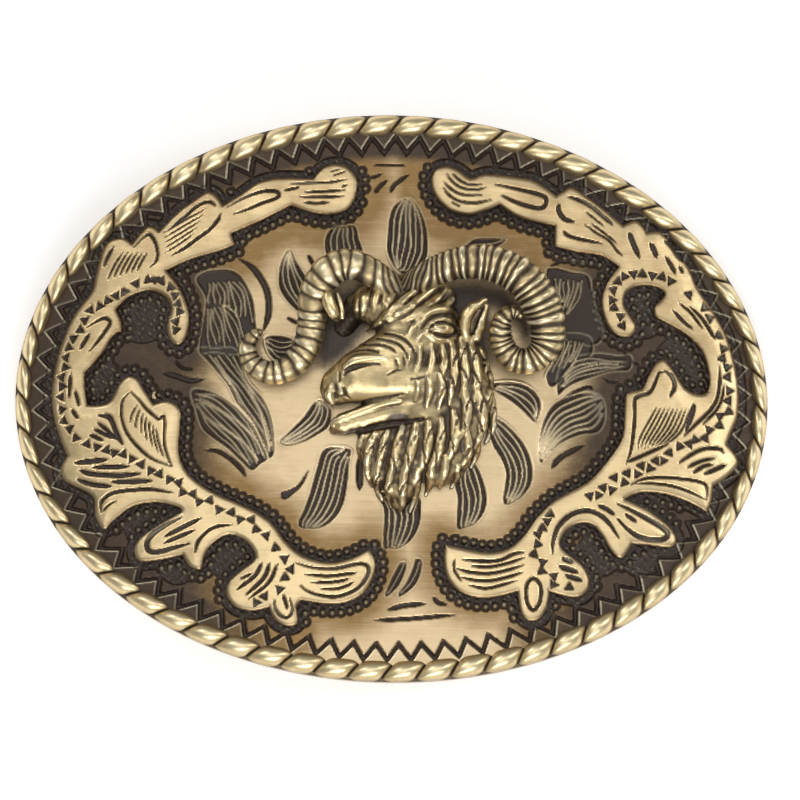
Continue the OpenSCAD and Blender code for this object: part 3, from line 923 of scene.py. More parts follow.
@dataclass
class FacePlate(Casting):
    """The bent oval plate, with its engraved front."""

    step: float = 0.135
    seam: float = 1.2
    ground: float = 0.36
    teeth: int = 78
    tooth_out: float = 2.85
    tooth_in: float = 4.85
    tooth_groove: float = 0.62
    tooth_line: float = 3.8
    bead_line: float = 1.0
    bead_pitch: float = 1.08
    bead_radius: float = 0.42
    bead_moat: float = 0.74
    bead_depth: float = 0.4
    bead_rise: float = 0.02
    border: float = 5.2
    margin: float = 1.1
    hollow_depth: float = 0.4
    stroke_depth: float = 0.42
    name: str = "engraved_plate"
    node: str = "face_plate"
    slot: str = "plate_brass"
    outlines: dict[str, Array] = field(default_factory=dict)

    LEAVES = (
        Leaf(xy(.6, 16, -.8, 18.4, -.8, 20.8, -.6, 22.9, 0, 24.3, 1, 25.1, 1.9, 25.3, 2.7, 24.5, 3.5, 23, 4,
          21.3, 4.2, 19.2, 4, 17.6, 2.6, 15.6), 6, 6),
        Leaf(xy(-7, 16.6, -8.3, 17.6, -8.7, 19.2, -8.4, 20.6, -7.5, 21.5, -6.6, 21.6, -5, 21.6, -4.5, 20,
          -4, 18.4, -5, 16.8), 5, 5),
        Leaf(xy(-10.6, 11, -11.6, 10.7, -13, 11.8, -14.2, 13.6, -14.4, 15.5, -14, 17.3, -13.1, 18.6, -12.4,
          17.3, -11.4, 15.7, -10.8, 14.7, -10.2, 12.6), 6, 4),
        Leaf(xy(-16, 7, -15.4, 7.6, -13.4, 7.5, -12.4, 6.8, -12.5, 4.6, -14, 4.2, -15.4, 5.4), 3, 4, 0.26),
        Leaf(xy(-9.2, -.3, -11, -2.6, -13.2, -4.8, -14, -5.6, -13, -6.2, -11, -5.7, -9, -4.6, -7.8, -3.6,
          -7.6, -1.5), 3, 4),
        Leaf(xy(-5.2, -6.5, -8.2, -6.5, -9.2, -9, -10, -12, -10.8, -14.4, -11.4, -15.7, -11.2, -16.4, -10,
          -16.6, -8.5, -16.4, -7, -15.4, -5.9, -13.6, -5.4, -11, -5.2, -8), 7, 5),
        Leaf(xy(3.2, -12.2, -1.5, -12, -.7, -14, -.7, -18.6, 0, -18.9, 1.2, -18.9, 2.6, -18, 3.6, -16.3,
          3.9, -14), 5, 5),
        Leaf(xy(9, -8, 8.1, -10.4, 8.5, -12.5, 8.5, -16.1, 9.6, -16.1, 10.8, -15.6, 11.9, -14, 12.1, -12,
          11.4, -9.6, 10.4, -8), 4, 4),
        Leaf(xy(12, -3, 12.8, -5.6, 13.8, -7.2, 14.5, -9, 14.4, -11, 14.2, -12.6, 14.8, -13.1, 16.4, -12.2,
          17.6, -10.6, 17.8, -8.5, 17, -6, 15.3, -3.8, 13.2, -2.3), 6, 4),
        Leaf(xy(12.6, 1.6, 13.3, 1, 15, 0, 16.5, -1.2, 18.1, -2.6, 18.7, -1, 18.5, .4, 17.3, 1.7, 15.5, 2.3,
          13, 2.2), 4, 3),
        Leaf(xy(26.6, .2, 25.5, 1.2, 23, 1, 20.5, -.3, 19.2, -2.5, 18.6, -5.5, 18.9, -7.7, 20.4, -6, 22,
          -4.8, 24, -4, 26, -3.6, 26.8, -2), 6, 6, 0.42),
        Leaf(xy(8.8, 18.7, 10, 20.2, 12, 20.4, 14, 20.3, 12.4, 19.2), 3, 1),
        Leaf(xy(1.9, -20.6, 1.3, -21, .3, -23, -.4, -24.9, .4, -24.6, 1.5, -23.2, 2.2, -21.2), 3, 1, 0.2),
        Leaf(xy(4.1, -20.5, 3.4, -20.2, 3, -21.5, 2.2, -23.3, 1.3, -24.6, 1.6, -24.9, 3.1, -23.8, 3.9,
          -22.3), 4, 1, 0.2),
    )
    HOLLOWS = (
        xy(-24.8, 14.7, -23.8, 15.7, -22.3, 16, -20.7, 16, -19.4, 15.3, -18.4, 13.9, -17.6, 12, -17.3, 9.6,
          -17.1, 7.5, -18.2, 6.3, -19.7, 5.4, -22.2, 5.7, -24.2, 5.8, -23.9, 8.9, -23.6, 12.4),
        xy(-24.4, 5.9, -22.2, 6, -19.7, 5.8, -18.2, 2.1, -16.5, .1, -15.6, -1.4, -15, -3.2, -14.7, -5.3,
          -14.7, -7.2, -15.3, -7.6, -16.4, -5.1, -17.5, -2.9, -19.4, -.8, -20.6, 1.5, -22.5, 3.7),
        xy(-25.1, .7, -23.1, .7, -21.2, -.2, -19.4, -1.6, -17.5, -3.7, -16.2, -6, -15.5, -7.8, -16.3, -8.5,
          -17.4, -9.3, -18.8, -8.1, -20.3, -6.7, -22.4, -5.2, -23.7, -4, -24.5, -1.9),
        xy(19.2, 16, 20.1, 16.9, 22.2, 16.5, 24.3, 16.1, 24.9, 14.5, 25.6, 11.5, 26.4, 9, 25.4, 7.4, 22, 8,
          20.4, 10),
        xy(21.2, 8.4, 24.6, 8.4, 25.1, 6.3, 23.8, 5.2, 21.9, 3.3, 20.1, 1.9, 19.4, 3.2, 20.3, 5.1),
        xy(20.9, .9, 20.8, 2.8, 21.2, 4.2, 22.8, 5.5, 24.7, 6.1, 26.5, 6.2, 28.4, 6, 30, 6, 29.8, 4.4, 27.5,
          4.1, 25.2, 3.3, 22.9, 2.4, 21.7, 1.6),
    )
    FANS = (
        Fan(xy(-23.2, 14.3, -23.2, 13, -23.2, 11.9), xy(-19.8, 14.8, -18.6, 13.2, -17.9, 11.3, -17.7, 9),
          9),
        Fan(xy(-23.3, 11, -23.4, 9.1, -22.9, 6.2), xy(-21.2, 11.8, -19.8, 10.2, -18.9, 8.3, -18.2, 6.3), 8),
        Fan(xy(-24, 5.3, -22.3, 3.4, -20.3, 1.4, -19, -.9, -17.3, -3.2, -16, -5.4, -15.4, -7.2), xy(-20.3,
          5.3, -19, 3.2, -17.6, 1.1, -16.5, -.4, -15.6, -2, -15.1, -4.1, -14.9, -6.8), 6),
        Fan(xy(-24.6, .3, -22.5, .1, -20.8, -.8, -18.9, -2.5, -17.2, -4.5, -16.2, -6.6, -15.8, -7.7),
          xy(-24.4, -1.2, -23.4, -3.3, -21.9, -4.7, -20.1, -6, -18.8, -7.4, -17.6, -8.8), 9),
        Fan(xy(20.3, 15.6, 20.4, 14.4, 21, 12.6), xy(23.8, 15.5, 23.4, 13.3, 21.9, 10.9), 7),
        Fan(xy(21.6, 7.7, 21.2, 6, 20.2, 3.9), xy(24, 7.9, 23.5, 6.3, 22.5, 4.6), 6),
        Fan(xy(21.4, 3.2, 22.8, 4.9, 24.7, 5.6, 27, 5.6, 29.4, 5.4), xy(21.4, 1.8, 23, 3, 25.2, 3.8, 27.5,
          4.4, 29.4, 4.7), 5),
    )
    STROKES = (
        (.45, -13.3, 10, -11.8, 9.2), (.5, -10.8, 17.9, -9.9, 16.4), (.9, -3.8, -7.4, -3.8, -11.7),
        (.75, 20.2, -8.4, 21.5, -6.9, 24.4, -5.3),
        (.6, -23.5, -6.8, -21.8, -6.9, -20.1, -7.9, -18.8, -9.1, -18.1, -10.2),
        (.75, -29, 3, -27.3, 2.6, -25.4, 2, -23.6, 2.1),
        (.8, -19.6, 17.5, -17.8, 16.3, -16.5, 14.6, -15.8, 13, -15.6, 11.1, -15.8, 9.6, -16.3, 8.2),
        (.45, -27.4, 4.6, -26.4, 3.6, -24.9, 3.4), (.45, 19.5, 17, 21.6, 17.9, 24.5, 17.6),
        (.7, -.1, -26.7, 2, -26.1, 4.8, -25.8), (.6, -1.8, -28, 3, -27.7, 8.6, -27.1),
        (.6, 5.6, -24.9, 6.2, -25.6, 7.4, -25.9), (.4, -3, 29.45, 1.5, 29.45),
        (.45, -3.8, 27.9, -2.7, 27.9, -1.6, 28.4), (.6, -2.5, 25.9, -2, 26.6, -1, 27.6),
        (.6, -.6, 26, 0, 27, 1.8, 28.4), (.5, 21.6, .5, 23.4, 1.5, 24.7, 2, 25.3, 1.7),
        (.35, 26.5, 3.3, 27.5, 2.7, 28.7, 2.9), (.4, 28.6, 7.4, 30, 5.6, 31.6, 4.8),
    )
    SHADOWS = (
        xy(-8.6, 12.4, -6.4, 13.4, -3, 14.2, -2.4, 11, -4, 8, -6.5, 5, -9, 4.2, -9.2, 8),
        xy(6, 13.2, 9, 14.4, 12.8, 14, 15.6, 12.4, 17, 9.6, 16.8, 8, 15.4, 10.4, 12.2, 11.6, 12, 8, 12, 5,
          10, 6, 8, 10),
    )
    DROPS = (
        xy(-10.3, -9.3, -11.2, -11, -12.4, -12, -13.2, -12.4),
    )
    BAYS = (
        (-31.5, 10, 3.4), (-36.5, 2, 2.8), (-20, -20, 3.2), (-26.5, -21.5, 2.4), (31.4, 11.2, 3),
        (35.5, 6.4, 2.2), (26.4, -19, 3), (31.5, -19.5, 2.4), (-31.5, -16.5, 2), (38.3, 4.6, 1.6),
    )

    def build(self) -> Piece:
        """Draws the front, joins it to the plate's own back and edge, and makes the piece.

        Returns:
            The new piece.
        """
        tris, values = self.front()
        front = np.column_stack([values[:, :2], bent(values[:, 0]) + values[:, 2]])
        back, back_tris = self.back()
        n = len(front)
        rim, turn = self.by_angle(rings(rim_of(tris))[0], front)
        lip, back_turn = self.by_angle(rings(rim_of(back_tris))[0], back)
        skirt = stitch(rim, lip + n, turn, back_turn)
        pad = np.zeros(len(back))
        # Painted shade on the top of the plate's edge, under the overhanging rope.
        shade_under_rope = pad.copy()
        shade_under_rope[lip] = 0.9
        paint = {"dark": np.concatenate([values[:, 3], shade_under_rope]),
                 "shine": np.concatenate([values[:, 4], pad]),
                 "tone": np.concatenate([values[:, 5], pad + 0.3]),
                 "cast": np.concatenate([np.zeros(n), pad + 1])}
        faces = [tris, back_tris + n, skirt[:, ::-1]]
        piece = make_piece(self.name, np.vstack([front, back]), faces, paint)
        crisp(piece, n)
        return piece

    def front(self) -> tuple[Array, Array]:
        """Draws the engraved front on a sheet and trims it to the oval.

        Returns:
            Triangles, and one row per point: place, height above the bend, dark, shine and tone.
        """
        sheet = Sheet((-HALF_W, -HALF_H), (HALF_W, HALF_H), self.step)
        oval_d = sheet.distance(oval(0), 12.0, closed=True)
        self.cut_zigzag(sheet, oval_d)
        close = self.from_scrolls(sheet)
        self.sink_ground(sheet, close)
        self.set_beads(sheet)
        tone = self.brown(sheet, oval_d, close)
        self.shadow(sheet)
        for loop in self.HOLLOWS:
            sheet.hollow(spline(loop, 6, closed=True), self.hollow_depth, wall=0.25, lip=0.05)
        for item in (*self.LEAVES, *self.FANS):
            item.cut(sheet)
        draw(sheet, self.STROKES, self.stroke_depth, taper=0.8)
        for path in self.DROPS:
            widths = np.linspace(0.2, 1.1, len(path))
            sheet.groove(np.column_stack([path, widths]), 1.0, self.hollow_depth)
        flat, height = sheet.corners()
        dark = np.maximum(sheet.dark, smooth(0.04, 0.2, sheet.cut)).ravel()
        values = np.column_stack([flat, height, dark, sheet.shine.ravel(), tone.ravel()])
        edge = sheet.signed(oval(self.seam), 3.0).ravel()
        return compact(*trim(triangles(*sheet.x.shape), values, edge))

    @staticmethod
    def by_angle(ring: Array, points: Array) -> tuple[Array, Array]:
        """Sorts a ring of point numbers round the oval and gives their angles.

        Args:
            ring: Point numbers.
            points: All points, one per row.

        Returns:
            The point numbers by rising angle, and the angles.
        """
        turn = np.arctan2(points[ring, 1] / HALF_H, points[ring, 0] / HALF_W)
        order = np.argsort(turn)
        return ring[order], turn[order]

    @staticmethod
    def back() -> tuple[Array, Array]:
        """Takes the plate's edge, back, pads, bosses and bores from the CAD, without its front face.

        Returns:
            Points and triangles.
        """
        points, tris = node_mesh("face_plate")
        on_top = np.abs(points[:, 2] - bent(points[:, 0])) < 0.02
        tris, points = compact(tris[~on_top[tris].all(1)], points)
        return points, tris

    def cut_zigzag(self, sheet: Sheet, d: Array) -> None:
        """Cuts the zigzag line inside the rope, with a thin raised rim that gets painted glints.

        Args:
            sheet: The sheet to draw on.
            d: Distance of each grid point from the buckle's edge.
        """
        turn = np.arctan2(sheet.y / HALF_H, sheet.x / HALF_W) % (2 * np.pi)
        line = oval(self.tooth_line)
        s = length_along(line, closed=True)
        u = np.linspace(0, 2 * np.pi, len(s))
        phase = np.interp(turn, u, s) / s[-1] * self.teeth
        wave = np.abs((phase % 1.0) * 2 - 1)
        depth = self.tooth_out + (self.tooth_in - self.tooth_out) * wave
        slope = 2 * (self.tooth_in - self.tooth_out) * self.teeth / s[-1]
        off = (d - depth) / math.hypot(1, slope)
        gap = np.abs(off) - 0.5 * self.tooth_groove
        near = (d > 1.5) & (d < 6)
        sheet.cut = np.where(near, 0.5 * smooth(0, 0.16, -gap), sheet.cut)
        # Thin raised rim on the outer side of the groove, with painted glints, stronger on one side of each
        # tooth.
        rim = smooth(0.02, 0.08, gap) * smooth(0.26, 0.14, gap) * (off < 0) * near
        rim = rim * np.where(phase % 1.0 > 0.5, 0.8, 0.3)
        sheet.shine = np.maximum(sheet.shine, rim)
        sheet.base = sheet.base + 0.05 * rim
        sheet.snap(np.where(near, gap, 1.0), WHOLE)

    def shadow(self, sheet: Sheet) -> None:
        """Paints shadow on the ground under the horns and behind the head."""
        for loop in self.SHADOWS:
            path = spline(loop, 6, closed=True)
            w = sheet.around(path, 2.5)
            d = sheet.part(w).signed(path, 2.5)
            sheet.dark[w] = np.maximum(sheet.dark[w], 0.96 * smooth(1.7, -0.9, d))

    def from_scrolls(self, sheet: Sheet) -> Array:
        """Distance of each grid point from the nearest scroll, negative under it."""
        close = np.full(sheet.x.shape, 9.0)
        for outline in self.outlines.values():
            close = np.minimum(close, sheet.signed(outline, 9.0))
        return close

    def sink_ground(self, sheet: Sheet, close: Array) -> None:
        """Sinks the dark pebbled ground round the scrolls and in their bays, with painted glints on the
        pebbles.

        Args:
            sheet: The sheet to draw on.
            close: Distance of each grid point from the nearest scroll.
        """
        near = close - self.margin
        for x, y, r in self.BAYS:
            near = np.minimum(near, np.maximum(np.hypot(sheet.x - x, sheet.y - y) - r, close - 4.0))
        sheet.cut = np.maximum(sheet.cut, self.ground * smooth(0, 0.2, -near))
        sheet.dark = np.maximum(sheet.dark, 0.94 * smooth(0.05, -0.15, near))
        sheet.snap(near, WHOLE)
        pebbles = noise(sheet.x, sheet.y, 0.42, 3.0) + 0.6 * noise(sheet.y, sheet.x, 0.27, 1.4)
        floor = smooth(-0.1, -0.5, near)
        sheet.base = sheet.base + 0.1 * pebbles * floor
        # Painted glints on the tops of the pebbles.
        sheet.shine = np.maximum(sheet.shine, 0.22 * smooth(0.45, 0.9, pebbles) * floor)

    def set_beads(self, sheet: Sheet) -> None:
        """Sets beads along the scrolls, clear of the border, the scrolls and one another."""
        placed: list[Array] = []
        for outline in self.outlines.values():
            path = evenly(outline, 0.12, closed=True)
            ahead = np.roll(path, -2, axis=0) - np.roll(path, 2, axis=0)
            out = np.column_stack([ahead[:, 1], -ahead[:, 0]]) / np.linalg.norm(ahead, axis=1)[:, None]
            for p in path + self.bead_line * out:
                inset = 1 - math.hypot(p[0] / HALF_W, p[1] / HALF_H)
                by_scroll = np.min(np.linalg.norm(path - p, axis=1))
                if inset * math.hypot(*p) < self.border or by_scroll < 0.9 * self.bead_line:
                    continue
                if placed and np.min(np.linalg.norm(np.array(placed) - p, axis=1)) < self.bead_pitch:
                    continue
                placed.append(p)
        for p in placed:
            sheet.bead(p[0], p[1], self.bead_radius, self.bead_rise, self.bead_moat, self.bead_depth)
        log.info("%s: %d beads", self.name, len(placed))

    @staticmethod
    def brown(sheet: Sheet, oval_d: Array, close: Array) -> Array:
        """Darkens and browns the metal by the border and at both ends, with painted shade towards the top
        and painted light towards the lower right.

        Args:
            sheet: The sheet to darken.
            oval_d: Distance of each grid point from the buckle's edge.
            close: Distance of each grid point from the nearest scroll.

        Returns:
            How brown the metal is at each grid point.
        """
        ends = smooth(0.18, 0.7, np.abs(sheet.x) / HALF_W)
        low = smooth(0.0, -0.5, sheet.y / HALF_H) * smooth(0.52, 0.26, np.abs(sheet.x) / HALF_W)
        band = smooth(6.4, 4.8, oval_d) * (1 - low)
        dark_near_end_scrolls = 0.9 * smooth(7.5, 2.6, close) * smooth(19, 26, np.abs(sheet.x))
        sheet.dark = np.maximum(sheet.dark, np.maximum(band * 0.92, dark_near_end_scrolls))
        tone = 1.0 * smooth(6.8, 1.3, close) + 0.35 * ends + 0.3 * smooth(7, 4, oval_d) * (1 - low)
        # Painted shade: browner towards the top.
        tone = tone + 0.3 * smooth(2, 22, sheet.y)
        # Painted light: less brown towards the lower right.
        tone = tone - 0.3 * smooth(0, -12, sheet.y) * smooth(0, 15, sheet.x)
        return tone + 0.12 * noise(sheet.x, sheet.y, 5.0, 1.0)


# ---------- scrolls ----------

class Side(Enum):
    """Which side of the face a piece sits on."""

    LEFT = "left"
    RIGHT = "right"


@dataclass
class Scroll(Casting):
    """A raised leafy scroll with cut strokes and small triangular pits."""

    side: Side
    strokes: tuple[Stroke, ...]
    loops: tuple[Stroke, ...]
    hatches: tuple[tuple[Array, Array, int, float], ...]
    pits: tuple[Array, ...]
    step: float = 0.125
    broad: float = 1.45
    rise: float = 1.1
    round_edge: float = 0.5
    depth: float = 0.4
    pit_size: float = 0.84
    pit_depth: float = 0.42
    sink: float = 0.45
    slot: str = "scroll_brass"

    @property
    def node(self) -> str:
        """The CAD node this scroll stands for."""
        return f"scroll_{self.side.value}"

    def outline(self) -> Array:
        """Outline of the scroll, anticlockwise."""
        return face_outline(self.node, BEND_R + self.rise)

    def build(self) -> Piece:
        """Draws the top, adds the walls and the underside, and makes the piece.

        Returns:
            The new piece.
        """
        tris, values = self.top()
        top = np.column_stack([values[:, :2], bent(values[:, 0], BEND_R + self.rise) + values[:, 2]])
        n = len(top)
        under = np.column_stack([values[:, :2], bent(values[:, 0]) - self.sink])
        edges = rim_of(tris)
        walls = np.column_stack([edges[:, 0], edges[:, 0] + n, edges[:, 1] + n, edges[:, 1]])
        paint = {key: np.concatenate([values[:, k], np.full(n, down)])
                 for key, k, down in (("dark", 3, 1.0), ("shine", 4, 0.0), ("tone", 5, 0.6))}
        faces = [tris, tris[:, ::-1] + n, walls]
        return make_piece(f"{self.node}_relief", np.vstack([top, under]), faces, paint)

    def top(self) -> tuple[Array, Array]:
        """Draws the cut and rounded top on a sheet and trims it to the outline.

        Returns:
            Triangles, and one row per point: place, height above the bend, dark, shine and tone.
        """
        loop = self.outline()
        sheet = Sheet(loop.min(0) - 0.4, loop.max(0) + 0.4, self.step)
        draw(sheet, [(self.broad * width, *rest) for width, *rest in self.strokes], self.depth)
        for width, *values in self.loops:
            sheet.groove(xy(*values), self.broad * width, self.depth, closed=True)
        for first, last, count, width in self.hatches:
            for line in fan(first, last, count):
                sheet.groove(line[::3], width, self.depth, taper=0.5)
        for run in self.pits:
            self.cut_pits(sheet, run)
        d = sheet.signed(loop, 2.0)
        t = np.clip(1 + d / self.round_edge, 0, 1)
        sheet.base = sheet.base - 0.3 * (1 - np.sqrt(1 - t ** 2 * 0.96)) - 0.1 * smooth(-2.0, 0, d)
        # Painted highlight in a band just inside the rounded edge.
        edge_highlight = 0.25 * smooth(-0.95, -0.55, d) * smooth(-0.2, -0.45, d)
        sheet.shine = np.maximum(sheet.shine, edge_highlight)
        flat, height = sheet.corners()
        dark = np.maximum(smooth(0.03, 0.18, sheet.cut), 0.7 * smooth(-0.3, 0, d)).ravel()
        # Painted light: the scroll is less brown towards the bottom.
        tone = 0.28 - 0.24 * smooth(12, -12, sheet.y) + 0.2 * noise(sheet.x, sheet.y, 4.0, 2.0)
        tone = tone + 0.6 * smooth(-1.1, 0, d)
        values = np.column_stack([flat, height, dark, sheet.shine.ravel(), tone.ravel()])
        return compact(*trim(triangles(*sheet.x.shape), values, d.ravel()))

    def cut_pits(self, sheet: Sheet, run: Array) -> None:
        """Cuts a run of small triangles on both sides of a line, each pointing across it.

        Args:
            sheet: The sheet to draw on.
            run: The middle of each triangle, in order.
        """
        ahead = np.gradient(run, axis=0)
        turn = np.arctan2(ahead[:, 1], ahead[:, 0])
        off = run[1:-1] - (run[2:] + run[:-2]) / 2
        swing = ahead[1:-1, 0] * off[:, 1] - ahead[1:-1, 1] * off[:, 0]
        lean = swing @ np.resize([-1, 1], len(off))
        for k, (p, a) in enumerate(zip(run, turn)):
            side = math.copysign(1, lean) * (1 if k % 2 else -1)
            at = a - side * math.pi / 2 + np.array([0, 2.05, -2.05])
            middle = p + side * 0.12 * np.array([-math.sin(a), math.cos(a)])
            corners = middle + self.pit_size * np.column_stack([np.cos(at), np.sin(at)])
            sheet.hollow(corners, self.pit_depth, wall=0.14)


LEFT_STROKES: tuple[Stroke, ...] = (
    (.25, -13.3, 26.9, -10.4, 27, -8, 27.1, -6.1, 27.5), (.3, -13.9, 26, -12, 26.4),
    (.28, -11.4, 25.8, -8.8, 25.9, -6.2, 26.15), (.28, -12, 25.2, -8.8, 25.2, -6.5, 25.35),
    (.3, -11.4, 24.5, -9.9, 24.4, -8.3, 24.5), (.15, -8.2, 28.4, -7, 28.8), (.18, -7.8, 27.95, -6.2, 28.5),
    (.2, -6.7, 26.5, -6, 26.8),
    (.35, -21, 23.85, -19, 25, -16.8, 25.8, -15.2, 25.9, -14.6, 25.5, -14.9, 25, -16.8, 24.3, -18.4, 23.6,
      -20.2, 23),
    (.35, -28, 21.3, -26.4, 22.6, -24.8, 24, -23.4, 24.5, -22.5, 24),
    (.35, -21.9, 23, -22.2, 22.2, -23.2, 21, -24.8, 19.8, -26.4, 18.6, -28, 17.7),
    (.3, -32.8, 18.7, -31.8, 19.8, -30.9, 20.4, -30.2, 19.6, -29.8, 18.3, -29.9, 17, -30.7, 16.2),
    (.35, -35.4, 18.8, -36.2, 17.2, -36.5, 16.4), (.35, -40.5, 2.8, -40.6, -.3),
    (.35, -39.9, .7, -39.3, -1.3), (.35, -40.3, -1.7, -39.4, -2.9),
    (.35, -38.6, 8.6, -37.1, 9.5, -36.2, 9.8, -35.6, 9.2, -36.2, 8.1, -37, 7, -38.2, 5.5),
    (.4, -38.2, 7.8, -39.3, 5.9), (.5, -36.8, -2.5, -35.4, -2.8, -34.6, -4.6, -33.7, -6.2),
    (.4, -36.9, -3.4, -34.3, -5.6), (.4, -37.4, -4.2, -34.9, -5.4), (.4, -37.9, -4.9, -36.2, -5.7),
    (.28, -32.9, .5, -33.8, -.6, -34, -2.2, -33.6, -3.9, -32.9, -5.2, -31.5, -6.8, -29.8, -8.1, -27.4, -9),
    (.28, -32.9, .5, -31.8, -.5, -30.9, -1.6, -30, -2.4, -29.2, -3, -28.7, -2.6, -28.5, -3.4, -28.5, -6,
      -27.9, -8, -27.4, -9.1),
    (.55, -39.7, -8.5, -35.7, -8.1), (.45, -37.5, -9.05, -32.9, -9),
    (.5, -39.1, -9.4, -37.5, -9.9, -34, -10.1, -31.5, -9.9), (.5, -39.3, -10.6, -37.5, -11.2, -35.1, -11.5),
    (.5, -35, -10.9, -30, -10.8),
    (.4, -36.2, -14.8, -36.3, -13.6, -35.7, -12.8, -34.4, -12.2, -31.8, -11.9, -29.6, -11.9, -27.4, -12.3),
    (.25, -36.1, -14.7, -35.4, -13.9, -34.4, -13.3),
    (.5, -26.2, -15.4, -28, -16.3, -29.6, -17.4, -30.4, -18.6, -30.1, -19.6, -28.8, -19.7, -27, -19.2,
      -25.1, -18.7),
    (.45, -23.7, -15.5, -25.9, -16.6, -28.2, -17.8), (.4, -24.5, -17, -26.6, -17.9, -28.2, -18.6),
    (.35, -24.3, -19.8, -24, -18.5, -22.9, -17.2, -21.6, -16.5, -19.8, -16.3),
    (.3, -17.2, -22.4, -18.6, -23.1), (.4, -16, -21.1, -16.7, -22.6, -19, -24.5),
    (.4, -15, -21.1, -15.6, -22.9, -17.8, -25.1), (.35, -14, -21.2, -15, -23.5, -17.5, -25.6),
    (.3, -14.3, -25.6, -14.2, -26.7, -13.4, -27.7, -12.4, -27.8, -12, -26.9, -12.4, -25.4),
    (.35, -13.2, -25, -12.6, -26.8),
    (.35, -11.6, -21, -9.8, -21.5, -7.6, -21.7, -6, -21.5, -4.4, -21.1, -3.3, -21, -2.6, -21.4, -2.6, -22.4,
      -3.4, -23.7, -4.7, -24.6, -6.6, -25.2, -8.7, -25, -10.2, -24.5, -11.1, -23.8),
    (.32, -10.5, -22.4, -7.6, -22.6, -5.2, -22.3, -4.1, -22.2),
    (.3, -9.7, -23.4, -7.6, -23.4, -6, -23.2, -4.9, -22.9),
    (.3, -8.6, -24.2, -6.6, -24.2, -5.2, -23.8, -4.4, -23.3),
)
LEFT_HATCHES = (
    (xy(-29, 20.6, -26, 22.4, -23.4, 23.8), xy(-28.7, 18.1, -26.8, 19.3, -25, 20.6), 5, .3),
    (xy(-34.2, 18.1, -35.2, 16.4, -36, 14.7), xy(-31.2, 17.9, -31.8, 16.8, -32.3, 15.8), 6, .34),
    (xy(-32.1, -1.3, -32.7, -2.6, -32.9, -3.6), xy(-29.6, -4.2, -29.2, -6, -28.4, -8.1), 7, .28),
)
LEFT_PITS = (
    xy(-36, 12.1, -34.9, 12.6, -33.9, 13.2, -32.4, 14.1, -30.9, 14.7, -30, 14.6, -29.2, 14.6, -28.1, 13.6,
      -27.4, 12.7, -27.2, 11.6, -26.8, 10.6, -27.4, 9.4, -27.2, 8.3),
    xy(-37, 11.4, -38.1, 10.8, -38.9, 9.6, -39.3, 8.3, -40.3, 7.3, -40.7, 6.1, -41.2, 4.9, -41.1, 3.6,
      -41.7, 2.4, -41.4, 1.2, -41.7, -.1, -41.4, -1.7, -41.3, -3.2, -40.4, -4.1, -39.7, -5.4, -38.2, -6,
      -37, -6.6, -35.7, -6.8, -34.8, -7.3, -33.6, -7.3, -32.6, -8.1, -31.3, -8.6, -30.2, -9.6, -29, -9.8,
      -27.8, -10.7, -26.5, -10.9, -26.1, -12.3, -24.7, -12.3, -24, -13.5, -22.6, -13.1, -21.5, -14.5, -19.8,
      -14.6, -18.8, -15.7, -17.3, -15.5, -16.8, -16.9, -15.4, -17.5, -14.3, -19.2, -13, -20.4, -12.4, -21.8,
      -12.9, -22.9, -13.7, -24.3, -15.5, -25.3, -16.6, -26),
)
